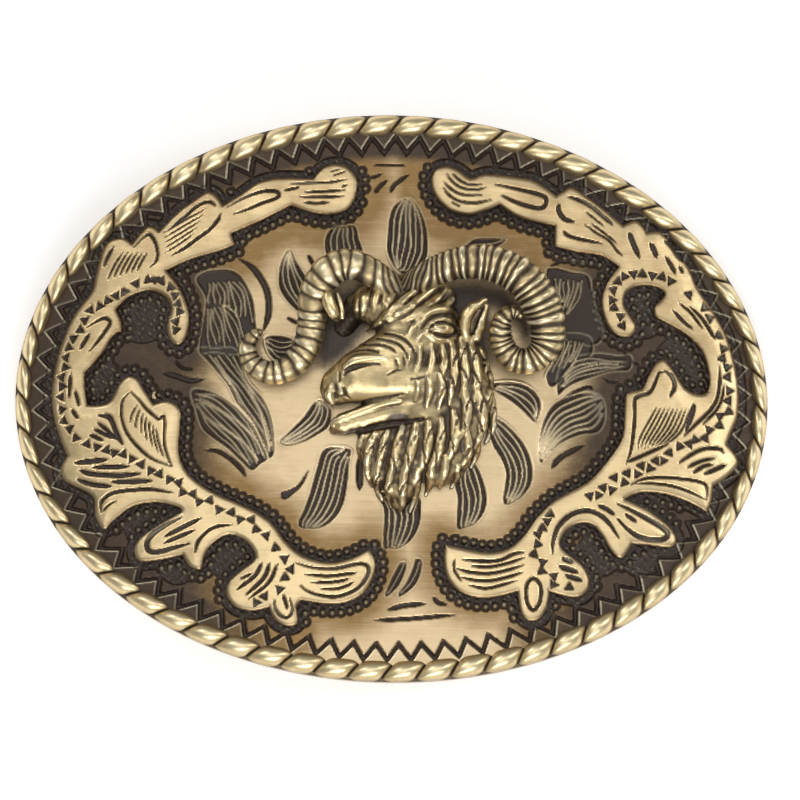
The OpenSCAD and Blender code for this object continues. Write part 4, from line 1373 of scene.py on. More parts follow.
RIGHT_STROKES: tuple[Stroke, ...] = (
    (.24, 7.2, 28.5, 8, 27.7, 9.3, 27.1, 11, 27.2),
    (.24, 6.4, 28.5, 7.2, 27.4, 8.6, 26.6, 10.4, 26.5, 11.5, 26.8),
    (.24, 6.1, 27.4, 7, 26.5, 8.5, 25.8, 11, 25.8),
    (.24, 5.9, 26.7, 6.9, 25.6, 8.3, 24.9, 10.2, 24.75, 12.2, 25.2), (.15, 7, 24.9, 8.3, 24.2),
    (.4, 12.6, 27.2, 15.2, 26.7, 17.6, 26.2, 18.9, 25.7, 19, 24.8, 18.2, 24.3, 16.5, 24.6, 14.9, 25.1, 13.4,
      25.8),
    (.45, 20.7, 24.9, 20.6, 24.1, 21.3, 23.1, 22.6, 22.7),
    (.4, 21.8, 25.9, 23.2, 25.5, 24.8, 24.7, 26.4, 23.4, 27.5, 22.5),
    (.2, 24, 24.1, 25.3, 23.1, 26.4, 22.3), (.25, 23.9, 22.5, 25.3, 21.5, 26.9, 20.6, 28, 19.3, 28.8, 18.6),
    (.25, 24.8, 22.6, 26.4, 21.4, 28, 20.2), (.35, 21.2, 21.5, 21.8, 21, 23.2, 20.6, 26.2, 20.1),
    (.5, 29.6, 21.6, 30, 20.4, 30.9, 18.5), (.5, 32.3, 20.4, 33.1, 18.6),
    (.45, 34.1, 20.7, 34.9, 20.1, 35.8, 18.8, 36.6, 18.2), (.4, 34.2, 18.8, 35, 17.5, 35.5, 16.6),
    (.35, 36, 17.6, 36.4, 16.8), (.35, 35.2, 12, 36.6, 10.6, 37.8, 9.7), (.3, 36, 13, 37.6, 11.6, 39, 9.8),
    (.35, 37.3, 12.6, 38.9, 11.1, 40, 9.5, 40.6, 8.6),
    (.35, 41.2, 5.2, 41.3, 3.3, 41, 1, 40, -.7, 38.4, -2.3, 36.8, -3.9),
    (.3, 41.8, 2.8, 41.6, 1, 40.8, -.6, 39.2, -2.3), (.5, 38.1, .2, 37.8, -1.2, 37.1, -3.3),
    (.35, 34.2, 4.2, 33.6, 3.9, 33.1, 2.6, 32.5, 1.5, 31.2, 1, 30.6, .4, 30.6, -1.8, 30.4, -4.4, 30.1, -6.3,
      29.6, -7.7),
    (.4, 34.4, 4.3, 35.2, 3.6, 35.6, 2.3, 35, 1), (.35, 35, -4.9, 31.3, -6.7, 29.7, -7.4),
    (.35, 36.3, -7.3, 37.8, -6.2, 39.4, -5.4, 41.3, -5.3, 41.9, -5.8),
    (.35, 37.4, -7.8, 39, -7, 40.8, -6.5), (.35, 38.1, -8.5, 39.4, -7.6, 40.6, -7.3),
    (.4, 39.5, -8.6, 41, -7.9, 42.2, -7.3),
    (.32, 30.2, -10.3, 31.8, -9.5, 34.1, -9.2, 36.8, -9.3, 39, -9.6, 39.8, -10.2, 39.9, -11.8),
    (.3, 30.9, -10.1, 32.8, -10, 35.2, -10.2, 37.4, -10.8, 39.8, -11.8),
    (.5, 28.6, -12.7, 30.2, -13.4, 32.2, -14.4, 34.1, -15.4, 35, -16.3, 34.4, -17, 32.8, -17.1, 31.2, -16.7,
      29.8, -15.8, 28.6, -14.6),
    (.4, 29.6, -14, 31, -14.9), (.45, 26.2, -13, 27.2, -13.4, 28.2, -14.1),
    (.45, 20.5, -19.2, 20.6, -17.6, 21.3, -15.7, 22.9, -14.2, 24.8, -13.7, 26.4, -14.2, 27.7, -15.4, 28.8,
      -17),
    (.5, 21.8, -19.8, 23, -20.2), (.55, 21.4, -20.8, 23.7, -21.5), (.5, 22.2, -21.9, 24.2, -22.5),
    (.35, 9.2, -20.2, 11.8, -20.4, 14, -20.2, 15.6, -19.4, 17, -19.1),
    (.32, 10.3, -21, 12.4, -21.1, 14.8, -20.6, 17, -19.8),
    (.32, 8.4, -21.3, 10.2, -21.8, 12.7, -21.9, 15, -21.4, 17, -20.7),
    (.32, 9, -22.4, 10.8, -22.8, 12.9, -22.8, 15.3, -22.2, 16.9, -21.6),
    (.3, 10, -23.4, 12.1, -23.8, 14, -23.4, 16.1, -22.7), (.25, 8.2, -20.2, 8.2, -21.6, 9.2, -23),
)
RIGHT_LOOPS: tuple[Stroke, ...] = (
    (.35, 18.2, -22.4, 19, -23.2, 19.15, -24.4, 18.9, -25.7, 18.2, -26.4, 17.5, -25.7, 17.25, -24.4, 17.4,
      -23.2),
)
RIGHT_HATCHES = (
    (xy(33.4, -.4, 31.4, -4.2, 31, -6), xy(37.6, -.6, 36.4, -3.4, 34.3, -5.2), 9, .32),
)
RIGHT_PITS = (
    xy(28.8, 9.8, 28.7, 11, 27.7, 12, 27.6, 13, 27.6, 14.3, 28.3, 15.3, 29, 16.1, 30.2, 16.3, 31.3, 16.5,
      32.6, 16.2, 33.8, 16.2, 34.9, 15.6),
    xy(37.3, 14.1, 39.2, 12.4, 40, 11.2, 41, 9, 41.8, 7.4, 41.5, 6.1, 42.3, 5.1, 42.2, 3.8, 42.6, 2.1, 42.3,
      .8, 42.6, -.6, 41.3, -1.1, 41.4, -2.4, 40, -2.9, 39.6, -4.1, 38.3, -4.2, 37.6, -4.9, 36.3, -5.1, 35.1,
      -6.1, 34.2, -7, 33.4, -7.2, 32.6, -8, 31.6, -7.9, 31, -8.8, 29.8, -8.9, 29.4, -9.9, 28.2, -9.5, 27.8,
      -10.9, 26.8, -10.8, 26.1, -11.6, 25.1, -11.9),
    xy(20.2, -14.3, 19.7, -15.1, 19.3, -16.1, 18.6, -16.8, 18.7, -18.1, 18.1, -19.4, 19.4, -20.3, 19.1,
      -21.5, 20.8, -22, 20.6, -23.2, 22.7, -23.3),
)


# ---------- swept pieces ----------

@dataclass
class Rope(Casting):
    """The rope edge: a ring of slanted, rounded strands."""

    strands: int = 60
    width: float = 2.65
    height: float = 1.5
    slant: float = 0.17
    along: int = 18
    across: int = 16
    sink: float = 0.3
    edge_in: float = 0.03
    thin_ends: float = 0.38
    name: str = "rope_edge"
    node: str = "rope_border"
    slot: str = "rope_brass"

    def build(self) -> Piece:
        """Makes the ring.

        Returns:
            The new piece.
        """
        k = np.repeat(np.arange(self.strands), self.along)
        q = (1 - np.cos(np.pi * (np.arange(self.along) + 0.5) / self.along)) / 2
        q = np.tile(q, self.strands)
        v = np.cos(np.linspace(0, np.pi, self.across))
        line = oval(self.edge_in + 0.5 * self.width)
        s = length_along(line, closed=True)
        u = np.linspace(0, 2 * np.pi, len(s))
        lobe = (1 - np.abs(2 * q - 1) ** 2.0)[:, None] ** 0.66 * np.ones(self.across)
        at = (k + q)[:, None] / self.strands - self.slant * v[None, :] / self.strands
        turn = np.interp((at % 1.0) * s[-1], s, u)
        mid = np.stack([HALF_W * np.cos(turn), HALF_H * np.sin(turn)], -1)
        out = np.stack([np.cos(turn) / HALF_W, np.sin(turn) / HALF_H], -1)
        out /= np.linalg.norm(out, axis=-1)[..., None]
        fat = (1 - np.abs(2 * q - 1) ** 4.0)[:, None]
        half = 0.5 * self.width * np.where(v > 0, 0.68 + 0.32 * fat, 0.56 + 0.44 * fat)
        half = half - self.thin_ends * np.cos(turn) ** 4
        inset = self.edge_in + 0.5 * self.width - self.thin_ends * np.cos(turn) ** 4 - half * v
        plan = mid - inset[..., None] * out
        rise = self.height * (0.22 + 0.78 * lobe) * np.sqrt(np.clip(1 - v ** 2, 0, 1))
        z = bent(plan[..., 0]) + rise
        z[:, [0, -1]] = bent(plan[:, [0, -1], 0]) - self.sink
        points = np.dstack([plan, z]).reshape(-1, 3)
        faces, flat = tube(self.strands * self.along, self.across, closed=True)
        return make_piece(self.name, points, [faces[:, [0, 3, 2, 1]]], self.paint(lobe, v), flat)

    @staticmethod
    def paint(lobe: Array, v: Array) -> dict[str, Array]:
        """Darkens the seams between strands and rubs the crests bright.

        Args:
            lobe: Height of the strand at each point, from 0 at a seam to 1.
            v: Place across the rope, from 1 outside to -1 inside.

        Returns:
            Named value per point for the finish.
        """
        low = np.clip(1 - lobe, 0, 1)
        side = np.abs(v)[None, :]
        dark = np.maximum(smooth(0.46, 0.82, low), 0.6 * smooth(0.78, 1, side) * (0.5 + 0.6 * low))
        shine = smooth(0.45, 0.05, low) * smooth(0.75, 0.2, side)
        tone = 0.15 + 0.35 * smooth(0.5, 1, side) + 0.2 * low
        return {"dark": dark.ravel(), "shine": shine.ravel() * 0.5, "tone": tone.ravel()}


@dataclass
class Horn(Casting):
    """A curled horn with ring ridges that lean over at its root.

    Args:
        side: Which horn it is.
        path: Middle line from root to tip, with the radius at each point.
        pitch: Distance between ridges where the horn is thickest.
        sharp: Shape of a ridge: low for round, high for a narrow crest.
        ridge: Depth of the cuts between ridges, as a share of the radius.
        lean: How far the ridges lean over at the root.
        root: Length of the root.
        around: Points per ring.
        step: Distance between rings of points.
        end: Length of the rounded tip.
    """

    side: Side
    path: Array
    pitch: float
    sharp: float
    ridge: float
    lean: float
    root: float = 5.0
    around: int = 64
    step: float = 0.11
    end: float = 0.5
    slot: str = "horn_brass"

    @property
    def node(self) -> str:
        """The CAD node this horn stands for."""
        return f"horn_{self.side.value}"

    def build(self) -> Piece:
        """Sweeps the horn along its path.

        Returns:
            The new piece.
        """
        line = evenly(spline(self.path, 12), self.step)
        s = length_along(line[:, :3])
        ahead = np.gradient(line[:, :3], axis=0)
        ahead /= np.linalg.norm(ahead, axis=1)[:, None]
        up = np.array([0, 0, 1.0]) - ahead * ahead[:, 2:3]
        up /= np.linalg.norm(up, axis=1)[:, None]
        out = np.cross(ahead, up)
        a = np.linspace(0, 2 * np.pi, self.around, endpoint=False)
        root = smooth(self.root + 2.5, 0.5, s)[:, None] * np.ones(self.around)
        shape = self.ridges(line, s, a, root)
        deep = self.ridge * (1 - 0.35 * root)
        past = np.clip((s - s[-1] + self.end) / self.end, 0, 1)
        tip = np.sqrt(np.clip(1 - past ** 2, 0.0, 1))[:, None]
        radius = line[:, 3:4] * (1.04 - deep * (1 - shape)) * tip
        spoke = np.cos(a)[None, :, None] * out[:, None] + np.sin(a)[None, :, None] * up[:, None]
        points = line[:, None, :3] + radius[..., None] * spoke
        rows, cols = len(line), self.around
        faces, flat = tube(rows, cols, closed=False)
        ring = np.arange(cols)
        start = np.column_stack([np.full(cols, rows * cols), np.roll(ring, -1), ring])
        points = np.vstack([points.reshape(-1, 3), line[:1, :3]])
        flat = np.vstack([flat, [[0.01, 0.01]]])
        inner = np.clip(np.cos(a)[None, :] * self.inward(line, out)[:, None], 0, 1)
        paint = self.paint(shape, root, inner, a)
        return make_piece(f"{self.node}_ridged", points, [faces, start], paint, flat)

    def ridges(self, line: Array, s: Array, a: Array, root: Array) -> Array:
        """Height of the ring ridges.

        Args:
            line: The middle line, with the radius at each point.
            s: Length along it.
            a: Angle of each point of a ring.
            root: How much each point belongs to the root.

        Returns:
            One height per point, from 0 in a cut to 1 on a crest.
        """
        size = line[:, 3] / line[:, 3].max()
        pitch = self.pitch * (0.55 + 0.45 * size[1:])
        count = np.concatenate([[0], np.cumsum(np.diff(s) / pitch)])
        uneven = 0.16 * np.sin(1.9 * count) + 0.12 * np.sin(0.83 * count + 1)
        wave = count[:, None] + uneven[:, None] + 0.10 * np.sin(a + 0.7)[None, :]
        wave = wave + 0.05 * np.sin(3 * a + 2 * count[:, None] * 0.3)
        wave = wave + self.lean * root * np.cos(a)[None, :]
        crest = 0.88 + 0.12 * np.sin(2.7 * np.floor(wave))
        return np.abs(np.sin(np.pi * wave)) ** self.sharp * crest

    @staticmethod
    def paint(shape: Array, root: Array, inner: Array, a: Array) -> dict[str, Array]:
        """Darkens the cuts with patina, paints shade on the root, the inside of the curl and the underside,
        and paints highlights on the crests.

        Args:
            shape: Height of the ridges at each point.
            root: How much each point belongs to the root.
            inner: How much each point faces the inside of the curl.
            a: Angle of each point of a ring.

        Returns:
            Named value per point for the material, with patina, painted shade and painted highlights, the
            root's middle point last.
        """
        # Underside: painted shade on the sides that face down.
        low = smooth(0.35, -0.3, np.sin(a))[None, :] * np.ones((len(shape), 1))
        # Patina in the cuts, and painted shade on the root and inside the curl.
        dark = smooth(0.85, 0.35, shape) * 0.95 + 0.55 * root + 0.8 * smooth(0.35, 0.95, inner)
        # Painted highlights on the crests, less on the root and none on the underside.
        shine = smooth(0.7, 1, shape) * (1 - 0.6 * root) * (1 - low)
        # Browner in the cuts, and browner on the root, underside and inside of the curl as painted shade.
        tone = 0.22 + 0.35 * root + 0.3 * low + 0.35 * inner + 0.25 * smooth(0.8, 0.4, shape)
        return {"dark": np.append(np.maximum(dark, 0.8 * low).ravel(), 1),
                "shine": np.append(shine.ravel(), 0),
                "tone": np.append(tone.ravel(), 0.5)}

    @staticmethod
    def inward(line: Array, out: Array) -> Array:
        """How far the horn's side vector points to the inside of its curl.

        Args:
            line: The middle line.
            out: Side vector at each point of it.

        Returns:
            One value per point of the line, from -1 to 1.
        """
        bend = np.gradient(np.gradient(line[:, :3], axis=0), axis=0)
        size = np.linalg.norm(bend, axis=1) + 1e-9
        return np.sum(bend * out, axis=1) / size


# ---------- the ram's head ----------

class Clay:
    """A solid modelled as distances on a grid of small cells."""

    def __init__(self, low: Sequence[float], high: Sequence[float], step: float) -> None:
        """Starts with nothing between two corners in millimetres."""
        self.low, self.step = np.array(low, float), step
        self.axes = [np.arange(a, b + step, step) for a, b in zip(low, high)]
        self.d = np.full([len(a) for a in self.axes], 2.0, np.float32)

    def near(self, points: Array, pad: float) -> tuple[slice, ...]:
        """The cells within pad of some points."""
        low, high = points[:, :3].min(0) - pad, points[:, :3].max(0) + pad
        return tuple(slice(*np.searchsorted(a, [p, q])) for a, p, q in zip(self.axes, low, high))

    def tube(self, points: Array, w: tuple[slice, ...]) -> Array:
        """Distance from a tube through points that each have a radius.

        Args:
            points: Rows of x, y, z and radius.
            w: The window, a part of the grid.

        Returns:
            One distance per cell of the window.
        """
        x, y, z = np.meshgrid(*(a[s] for a, s in zip(self.axes, w)), indexing="ij", sparse=True)
        out = np.full(self.d[w].shape, 9.0)
        for p, q in zip(points[:-1], points[1:]):
            v = q[:3] - p[:3]
            dx, dy, dz = x - p[0], y - p[1], z - p[2]
            t = np.clip((dx * v[0] + dy * v[1] + dz * v[2]) / (v @ v + 1e-9), 0, 1)
            d = np.sqrt((dx - t * v[0]) ** 2 + (dy - t * v[1]) ** 2 + (dz - t * v[2]) ** 2)
            out = np.minimum(out, d - (p[3] + t * (q[3] - p[3])))
        return out

    def add(self, points: Array, blend: float = 0.4) -> None:
        """Adds a tube, melting it into what is there."""
        w = self.near(points, points[:, 3].max() + blend + 1.2)
        a, b = self.d[w], self.tube(points, w)
        h = np.clip(0.5 + 0.5 * (b - a) / blend, 0, 1)
        self.d[w] = b * (1 - h) + a * h - blend * h * (1 - h)

    def cut(self, points: Array, blend: float = 0.15) -> None:
        """Cuts a tube away with soft edges."""
        w = self.near(points, points[:, 3].max() + blend + 1.2)
        a, b = self.d[w], -self.tube(points, w)
        h = np.clip(0.5 - 0.5 * (b - a) / blend, 0, 1)
        self.d[w] = b * (1 - h) + a * h + blend * h * (1 - h)

    def top(self, places: Array, default: float) -> Array:
        """Height of the solid's highest surface at some places.

        Args:
            places: Rows of x and y.
            default: Height where there is nothing solid.

        Returns:
            One height per place.
        """
        cells = np.round((places - self.low[:2]) / self.step).astype(int)
        i, j = np.clip(cells, 0, np.array(self.d.shape[:2]) - 1).T
        solid = self.d[i, j] < 0
        last = self.d.shape[2] - 1 - np.argmax(solid[:, ::-1], axis=1)
        return np.where(solid.any(1), self.axes[2][last], default)

    def on_top(self, points: Array, lift: float, default: float) -> Array:
        """Lays a plan curve on the surface.

        Args:
            points: Rows of x, y and radius.
            lift: How far it is raised, as a share of its radius.
            default: Height where there is nothing solid.

        Returns:
            Rows of x, y, z and radius.
        """
        path = spline(points, 5)
        z = self.top(path[:, :2], default)
        z = np.convolve(np.pad(z, 2, mode="edge"), np.ones(5) / 5, mode="valid")
        return np.column_stack([path[:, :2], z + lift * path[:, 2], path[:, 2]])

    def sample(self, values: Array, points: Array) -> Array:
        """Values of a grid at points, by blending the eight cells round each.

        Args:
            values: One value per cell.
            points: Points in millimetres, one per row.

        Returns:
            One value per point.
        """
        g = (points - self.low) / self.step
        i = np.clip(np.floor(g).astype(int), 0, np.array(values.shape) - 2)
        f = g - i
        out = np.zeros(len(points))
        for k in range(8):
            o = np.array([k & 1, k >> 1 & 1, k >> 2 & 1])
            share = np.prod(np.where(o, f, 1 - f), axis=1)
            out += share * values[tuple((i + o).T)]
        return out

    def blurred(self, cells: int) -> Array:
        """The distances averaged over a cube of cells."""
        out = self.d.astype(float)
        for axis in range(3):
            pad = [(0, 0)] * 3
            pad[axis] = (cells + 1, cells)
            total = np.cumsum(np.pad(out, pad, mode="edge"), axis=axis)
            n = out.shape[axis]
            out = (np.take(total, range(2 * cells + 1, 2 * cells + 1 + n), axis=axis)
                   - np.take(total, range(0, n), axis=axis)) / (2 * cells + 1)
        return out

    def surface(self) -> tuple[Array, Array, Array]:
        """Points, triangles and quads of the solid's skin."""
        grid = openvdb.FloatGrid(2.0)
        grid.copyFromArray(self.d)
        points, tris, quads = grid.convertToPolygons(0.0, 0.0)
        return points * self.step + self.low, tris, quads


@dataclass
class RamHead(Casting):
    """A ram's head in high relief, facing left, with tufted forehead, long neck hair and a beard.

    Its shape is kept in tables: BODY, the masses; EARS; FACE, the raised lines of eye, muzzle and
    jaw; SLITS, the cuts; LOCKS, the hair; and SHADED, the balls of space where shadow is painted.
    """

    step: float = 0.17
    low: Place = (-10.4, -15.6, 9.8)
    high: Place = (14.6, 16.4, 19.4)
    shadow: float = 0.7
    grit: float = 0.07
    melt: float = 1.2
    lift: float = 0.1
    sink: float = 0.3
    hair_pitch: float = 0.25
    neck_top: float = 7.5
    name: str = "ram_head_relief"
    node: str = "ram_head"
    slot: str = "head_brass"

    SHADED = (
        (-6.4, 9.6, 12, 3.4), (8.4, 12.4, 13.6, 2.2), (10.6, 9.6, 14.2, 1.3), (0.8, -3.6, 14, 2.2),
        (-4.5, -4.4, 12.4, 1.8), (6.6, -2.6, 14.6, 1.2),
    )

    BODY = (
        ((4.6, 8.8, 13.4, 3.4), (1, 9.8, 13.6, 3.3), (-2.6, 11.4, 13, 2.3)),
        ((3.4, 7, 14.4, 3), (-.6, 5, 15, 3), (-4.4, 3, 14.6, 2.5), (-6.9, 1.5, 13.7, 1.9)),
        ((5, 2.2, 13.8, 3.2), (0, 1.9, 14.3, 2.8), (-5, 1.2, 14, 2.2), (-7.2, .2, 13.3, 1.5)),
        ((5.4, -.6, 13.2, 2.2), (0, -1.7, 13.2, 1.6), (-5.9, -3.5, 12.4, 1.4)),
        ((8.2, 5, 12.8, 3.2), (9.3, 0, 12.6, 3.3), (8.2, -4.5, 12.4, 3.2), (6, -8.6, 12, 2.6)),
        ((5, -3.6, 12.4, 3.3), (2, -7.4, 12.2, 3), (1.2, -11, 11.9, 2.1), (1.2, -13.2, 11.6, 1)),
        ((-6, 9, 10.6, 1.4), (-4.4, 11.6, 11.2, 1.7), (-1, 13.2, 12.6, 2), (3.4, 13.4, 13.4, 2.2), (6, 12.4,
          12.8, 2)),
        ((1, -5, 12.2, 2.4), (-2.2, -5.8, 12, 2), (-1.6, -9.4, 11.8, 1.6)),
    )
    EARS = (
        ((9.3, 7.2, 15.2, .5), (9, 9, 15.7, .75), (9.7, 10.8, 15.9, .7), (11.5, 12.1, 15.7, .4)),
        ((10.4, 7.6, 14.6, .8), (10.8, 9.6, 14.8, 1), (11.6, 11.4, 15, .5)),
        ((-8, 13, 16.2, .4), (-8.2, 11.8, 16.5, .85), (-7.5, 10.2, 16.1, .75), (-7, 9.4, 15.4, .4)),
        ((-7, 12.6, 15.3, .3), (-6.6, 11.2, 15.4, .4), (-6.3, 9.6, 15, .3)),
    )
    FACE: tuple[Stroke, ...] = (
        (3.3, 8.8, .3, 4.4, 10.2, .45, 6.2, 10.8, .55, 8, 10.1, .45, 8.6, 8.8, .28),
        (4.2, 8.1, .22, 5.2, 9.1, .36, 6.5, 9.5, .42, 7.8, 9, .34, 8.4, 8, .2),
        (4.3, 7.5, .2, 5.6, 6.9, .36, 7.1, 7, .34, 8.1, 7.7, .2),
        (5.4, 8.2, .6, 6.3, 8.35, .78, 7.1, 8.2, .62),
        (-5.9, 3.2, .35, -4.6, 4.1, .55, -2.6, 4.4, .4, -1, 4.4, .2),
        (-7.6, .8, .45, -7.9, -.2, .5, -7.4, -1, .4), (-6.5, 1.1, .35, -6.3, .1, .4),
        (-7.2, -4.3, .5, -7, -3.3, .5, -5.4, -2.6, .5, -3.2, -1.8, .55, -1, -1.1, .45, 1, -.8, .3),
    )
    SLITS: tuple[Stroke, ...] = (
        (4.5, 8.2, .12, 5.4, 8.9, .18, 6.6, 9.05, .18, 7.7, 8.5, .12),
        (4.6, 7.9, .1, 5.8, 7.55, .16, 7.2, 7.6, .14, 7.9, 8, .1),
        (3.6, 8.2, .12, 4.6, 9.5, .16, 6.2, 10, .18, 7.7, 9.5, .16, 8.5, 8.4, .1),
        (5.7, 8.3, .12, 6.8, 8.3, .14),
        (-6.1, 2.2, .18, -5.4, 2.9, .34, -4.2, 3.3, .3, -2.8, 3.5, .16, -1.6, 3.6, .08),
        (-6.6, 2.5, .18, -6.5, 1.5, .18), (-7, -.1, .2, -6.9, -.5, .2),
        (-6, .6, .16, -5.6, -.3, .2, -5.2, -.6, .1),
        (-8.6, -1.5, .22, -7.4, -2.1, .28, -6, -1.7, .3, -4.2, -1, .28, -2, -.6, .26, -.2, -.35, .22, 1.4,
          0, .1),
        (-6.4, -4.8, .25, -4.2, -4.5, .45, -1.4, -3.9, .5, 1.4, -3.4, .4, 4, -3, .2),
        (2.4, 1.8, .08, 3.4, 2, .12, 4.6, 2.3, .06), (9.9, 8, .3, 10.5, 9.8, .42, 11.3, 11.3, .2),
        (-4, 7.4, .1, -1.4, 7.5, .15, 1, 7, .16, 2.4, 5.8, .13, 3, 4.6, .08),
        (-4.3, 6.7, .1, -1.8, 6.8, .15, .4, 6.3, .15, 1.6, 5.2, .12, 2, 4.2, .08),
        (-4.7, 6, .1, -2.4, 6.1, .14, -.4, 5.7, .13, .6, 4.9, .08),
        (-5.1, 5.3, .08, -3.2, 5.4, .12, -1.6, 5, .08), (.8, 3.2, .08, .4, 4.2, .1),
        (1.6, 3.4, .08, 1.4, 4.6, .1), (-.6, 2.2, .06, .4, 2.8, .1, 1.4, 3, .06),
    )
    LOCKS: tuple[Stroke, ...] = (
        (-.6, 13.8, .45, -.9, 12.2, .55, -1.2, 10.6, .2), (-1.8, 14, .45, -2.2, 12.3, .6, -2.5, 10.3, .2),
        (-3, 13.4, .45, -3.6, 11.8, .6, -3.8, 9.9, .2), (-4, 12.6, .35, -4.5, 11.1, .5, -4.4, 9.7, .2),
        (.6, 13.8, .35, -.2, 12.1, .45, -1, 10.2, .25),
        (3.6, 13.8, .35, 1.6, 12.1, .55, -.4, 10.2, .5, -2.8, 8.6, .18),
        (1.2, 11, .3, -.6, 9.6, .4, -3.4, 8.2, .15),
        (5.2, 13.7, .4, 3.6, 12.3, .6, 1.8, 10.7, .55, -.6, 9.1, .2),
        (6.4, 13.4, .4, 5.2, 11.9, .6, 3.3, 10.3, .6, 1.2, 9, .25),
        (7.4, 12.2, .4, 6.3, 11.1, .55, 4.6, 10.4, .5, 2.9, 9.2, .25),
        (7.8, 11, .35, 6.6, 10.6, .4, 5.4, 10.5, .2), (3.4, 9.2, .28, 2.4, 8.1, .35, 1.9, 7, .15),
        (4.2, 8, .28, 3.5, 7.2, .32, 3, 6.2, .15), (2.3, 5.6, .2, 2.1, 4.4, .22, 1.8, 3.2, .1),
        (3.4, 6, .3, 3.4, 4.2, .38, 3, 2.8, .15), (4.8, 6.2, .3, 5, 4.3, .5, 4.6, 2.6, .2),
        (6.2, 6.2, .35, 6.6, 4.2, .55, 6.3, 2.3, .25), (2.1, 1.9, .14, 2.1, .9, .18, 1.9, 0, .1),
        (3.1, 2, .2, 3.3, .6, .32, 3, -.8, .15), (4.5, 2.2, .3, 4.8, .6, .5, 4.4, -1.4, .2),
        (5.9, 2.6, .35, 6.3, .6, .55, 5.9, -1.6, .25),
        (7.4, 6.6, .4, 7.8, 4.2, .6, 7.7, 1.6, .55, 7.2, -1, .25),
        (8.6, 7.2, .45, 8.9, 5, .6, 9.2, 2.4, .6, 8.7, 0, .25),
        (9.8, 7, .45, 10.3, 4.6, .65, 10.7, 2, .6, 10.4, -.6, .25),
        (11, 6, .4, 11.8, 3.8, .6, 12.3, 1.4, .55, 12.3, -.8, .25),
        (9, .8, .45, 9.5, -1.4, .7, 9.3, -3.8, .55, 8.5, -5.6, .25),
        (10.8, .4, .45, 11.4, -1.8, .7, 11.3, -4.2, .6, 10.5, -6.4, .25),
        (12.5, .6, .35, 12.8, -1.6, .5, 12.6, -3.8, .45, 11.8, -5.6, .2),
        (7.8, -2, .45, 8.1, -4.4, .7, 7.7, -6.8, .6, 6.7, -8.8, .25),
        (9.5, -4.6, .45, 9.7, -6.8, .65, 9.1, -8.8, .5, 8.3, -10.4, .2),
        (10.9, -5, .35, 10.8, -6.8, .5, 10.1, -8.6, .25),
        (6.3, -3, .45, 6.3, -5.4, .7, 5.7, -7.8, .6, 4.7, -9.8, .25),
        (4.7, -3.4, .45, 4.7, -5.8, .7, 4.1, -8.2, .6, 3.3, -10.2, .25),
        (3.1, -3.6, .4, 2.9, -5.6, .65, 2.3, -8, .6, 1.7, -10, .25),
        (1.4, -4, .4, 1, -5.8, .6, .5, -8, .55, .1, -9.8, .25),
        (-.4, -4.6, .4, -.9, -6.2, .6, -1.3, -8.2, .5, -1.5, -9.8, .2),
        (-2, -4.8, .4, -2.6, -6.3, .55, -2.9, -8, .45, -2.8, -9.6, .2),
        (-3.5, -5, .35, -3.9, -6.4, .45, -3.7, -8, .2), (6.9, -7.6, .4, 6.8, -9.4, .6, 6.2, -11.3, .25),
        (5.2, -8.6, .4, 5.1, -10.4, .6, 4.5, -12.2, .25), (8.5, -8.6, .35, 8.3, -10, .5, 7.6, -11.3, .2),
        (3.4, -9, .45, 3.3, -11.2, .6, 2.9, -13.2, .45, 2.5, -14.3, .2),
        (1.8, -9.2, .45, 1.6, -11.2, .6, 1.5, -13.2, .45, 1.3, -14.4, .2),
        (.2, -9.2, .4, -.1, -11, .55, -.1, -12.8, .4, .2, -13.9, .2),
        (-1.5, -8.8, .35, -1.7, -10.6, .5, -1.4, -12.2, .35, -.9, -13.2, .15),
        (-2.9, -8.6, .3, -2.8, -10, .4, -2.2, -11.2, .2),
    )

    @staticmethod
    def rows(values: Stroke) -> Array:
        """Rows of x, y and radius from a run of values."""
        return np.array(values).reshape(-1, 3)

    def tufts(self, lock: Array) -> list[tuple[Array, float]]:
        """Splits a long lock into tufts that overlap.

        Args:
            lock: Rows of x, y and radius.

        Returns:
            The lock and its shorter tufts, each with how far it is lifted.
        """
        out = [(lock, 0.0)]
        line = evenly(spline(lock, 6), self.hair_pitch)
        turn = int(abs(lock[0, 0] * 7 + lock[0, 1] * 3)) % 3
        if len(line) <= 16:
            return out
        for k, start in enumerate(range(4 + turn, len(line) - 7, 7)):
            part = line[start:start + 8].copy()
            side = 0.3 if (k + turn) % 2 else -0.3
            part[:, 0] += side * np.linspace(0.2, 1, len(part))
            part[:, 2] = 0.42 * np.sin(np.linspace(0.5, 3.0, len(part))) * (0.8 + 0.2 * turn / 2)
            out.append((part[::2], 0.35))
        return out

    def nicks(self, lock: Array) -> list[Array]:
        """Short slanted cuts across a long lock of the neck or beard.

        Args:
            lock: Rows of x, y and radius.

        Returns:
            Rows of x, y and radius for each cut.
        """
        line = evenly(spline(lock, 6), self.hair_pitch)
        if lock[0, 1] >= self.neck_top or len(line) <= 17:
            return []
        turn = int(abs(lock[0, 0] * 5 + lock[0, 1] * 7)) % 4
        out = []
        for k in range(6 + turn, len(line) - 4, 11):
            along = line[k + 1, :2] - line[k - 1, :2]
            along /= np.linalg.norm(along)
            across = np.array([-along[1], along[0]]) * (1 if (k + turn) % 2 else -1)
            reach = line[k, 2]
            out.append(np.array([[*(line[k, :2] + reach * (c * across + d * along)), r]
                                 for c, d, r in ((-1.1, -1.6, 0.06), (0.0, 0.2, 0.15), (0.8, 2.2, 0.05))]))
        return out

    def build(self) -> Piece:
        """Models the head and makes the piece.

        Returns:
            The new piece.
        """
        clay = Clay(self.low, self.high, self.step)
        self.model(clay)
        self.roughen(clay)
        points, tris, quads = clay.surface()
        piece = make_piece(self.name, points, [tris, quads], self.paint(clay, points))
        log.info("%s: %d points", self.name, len(points))
        return piece

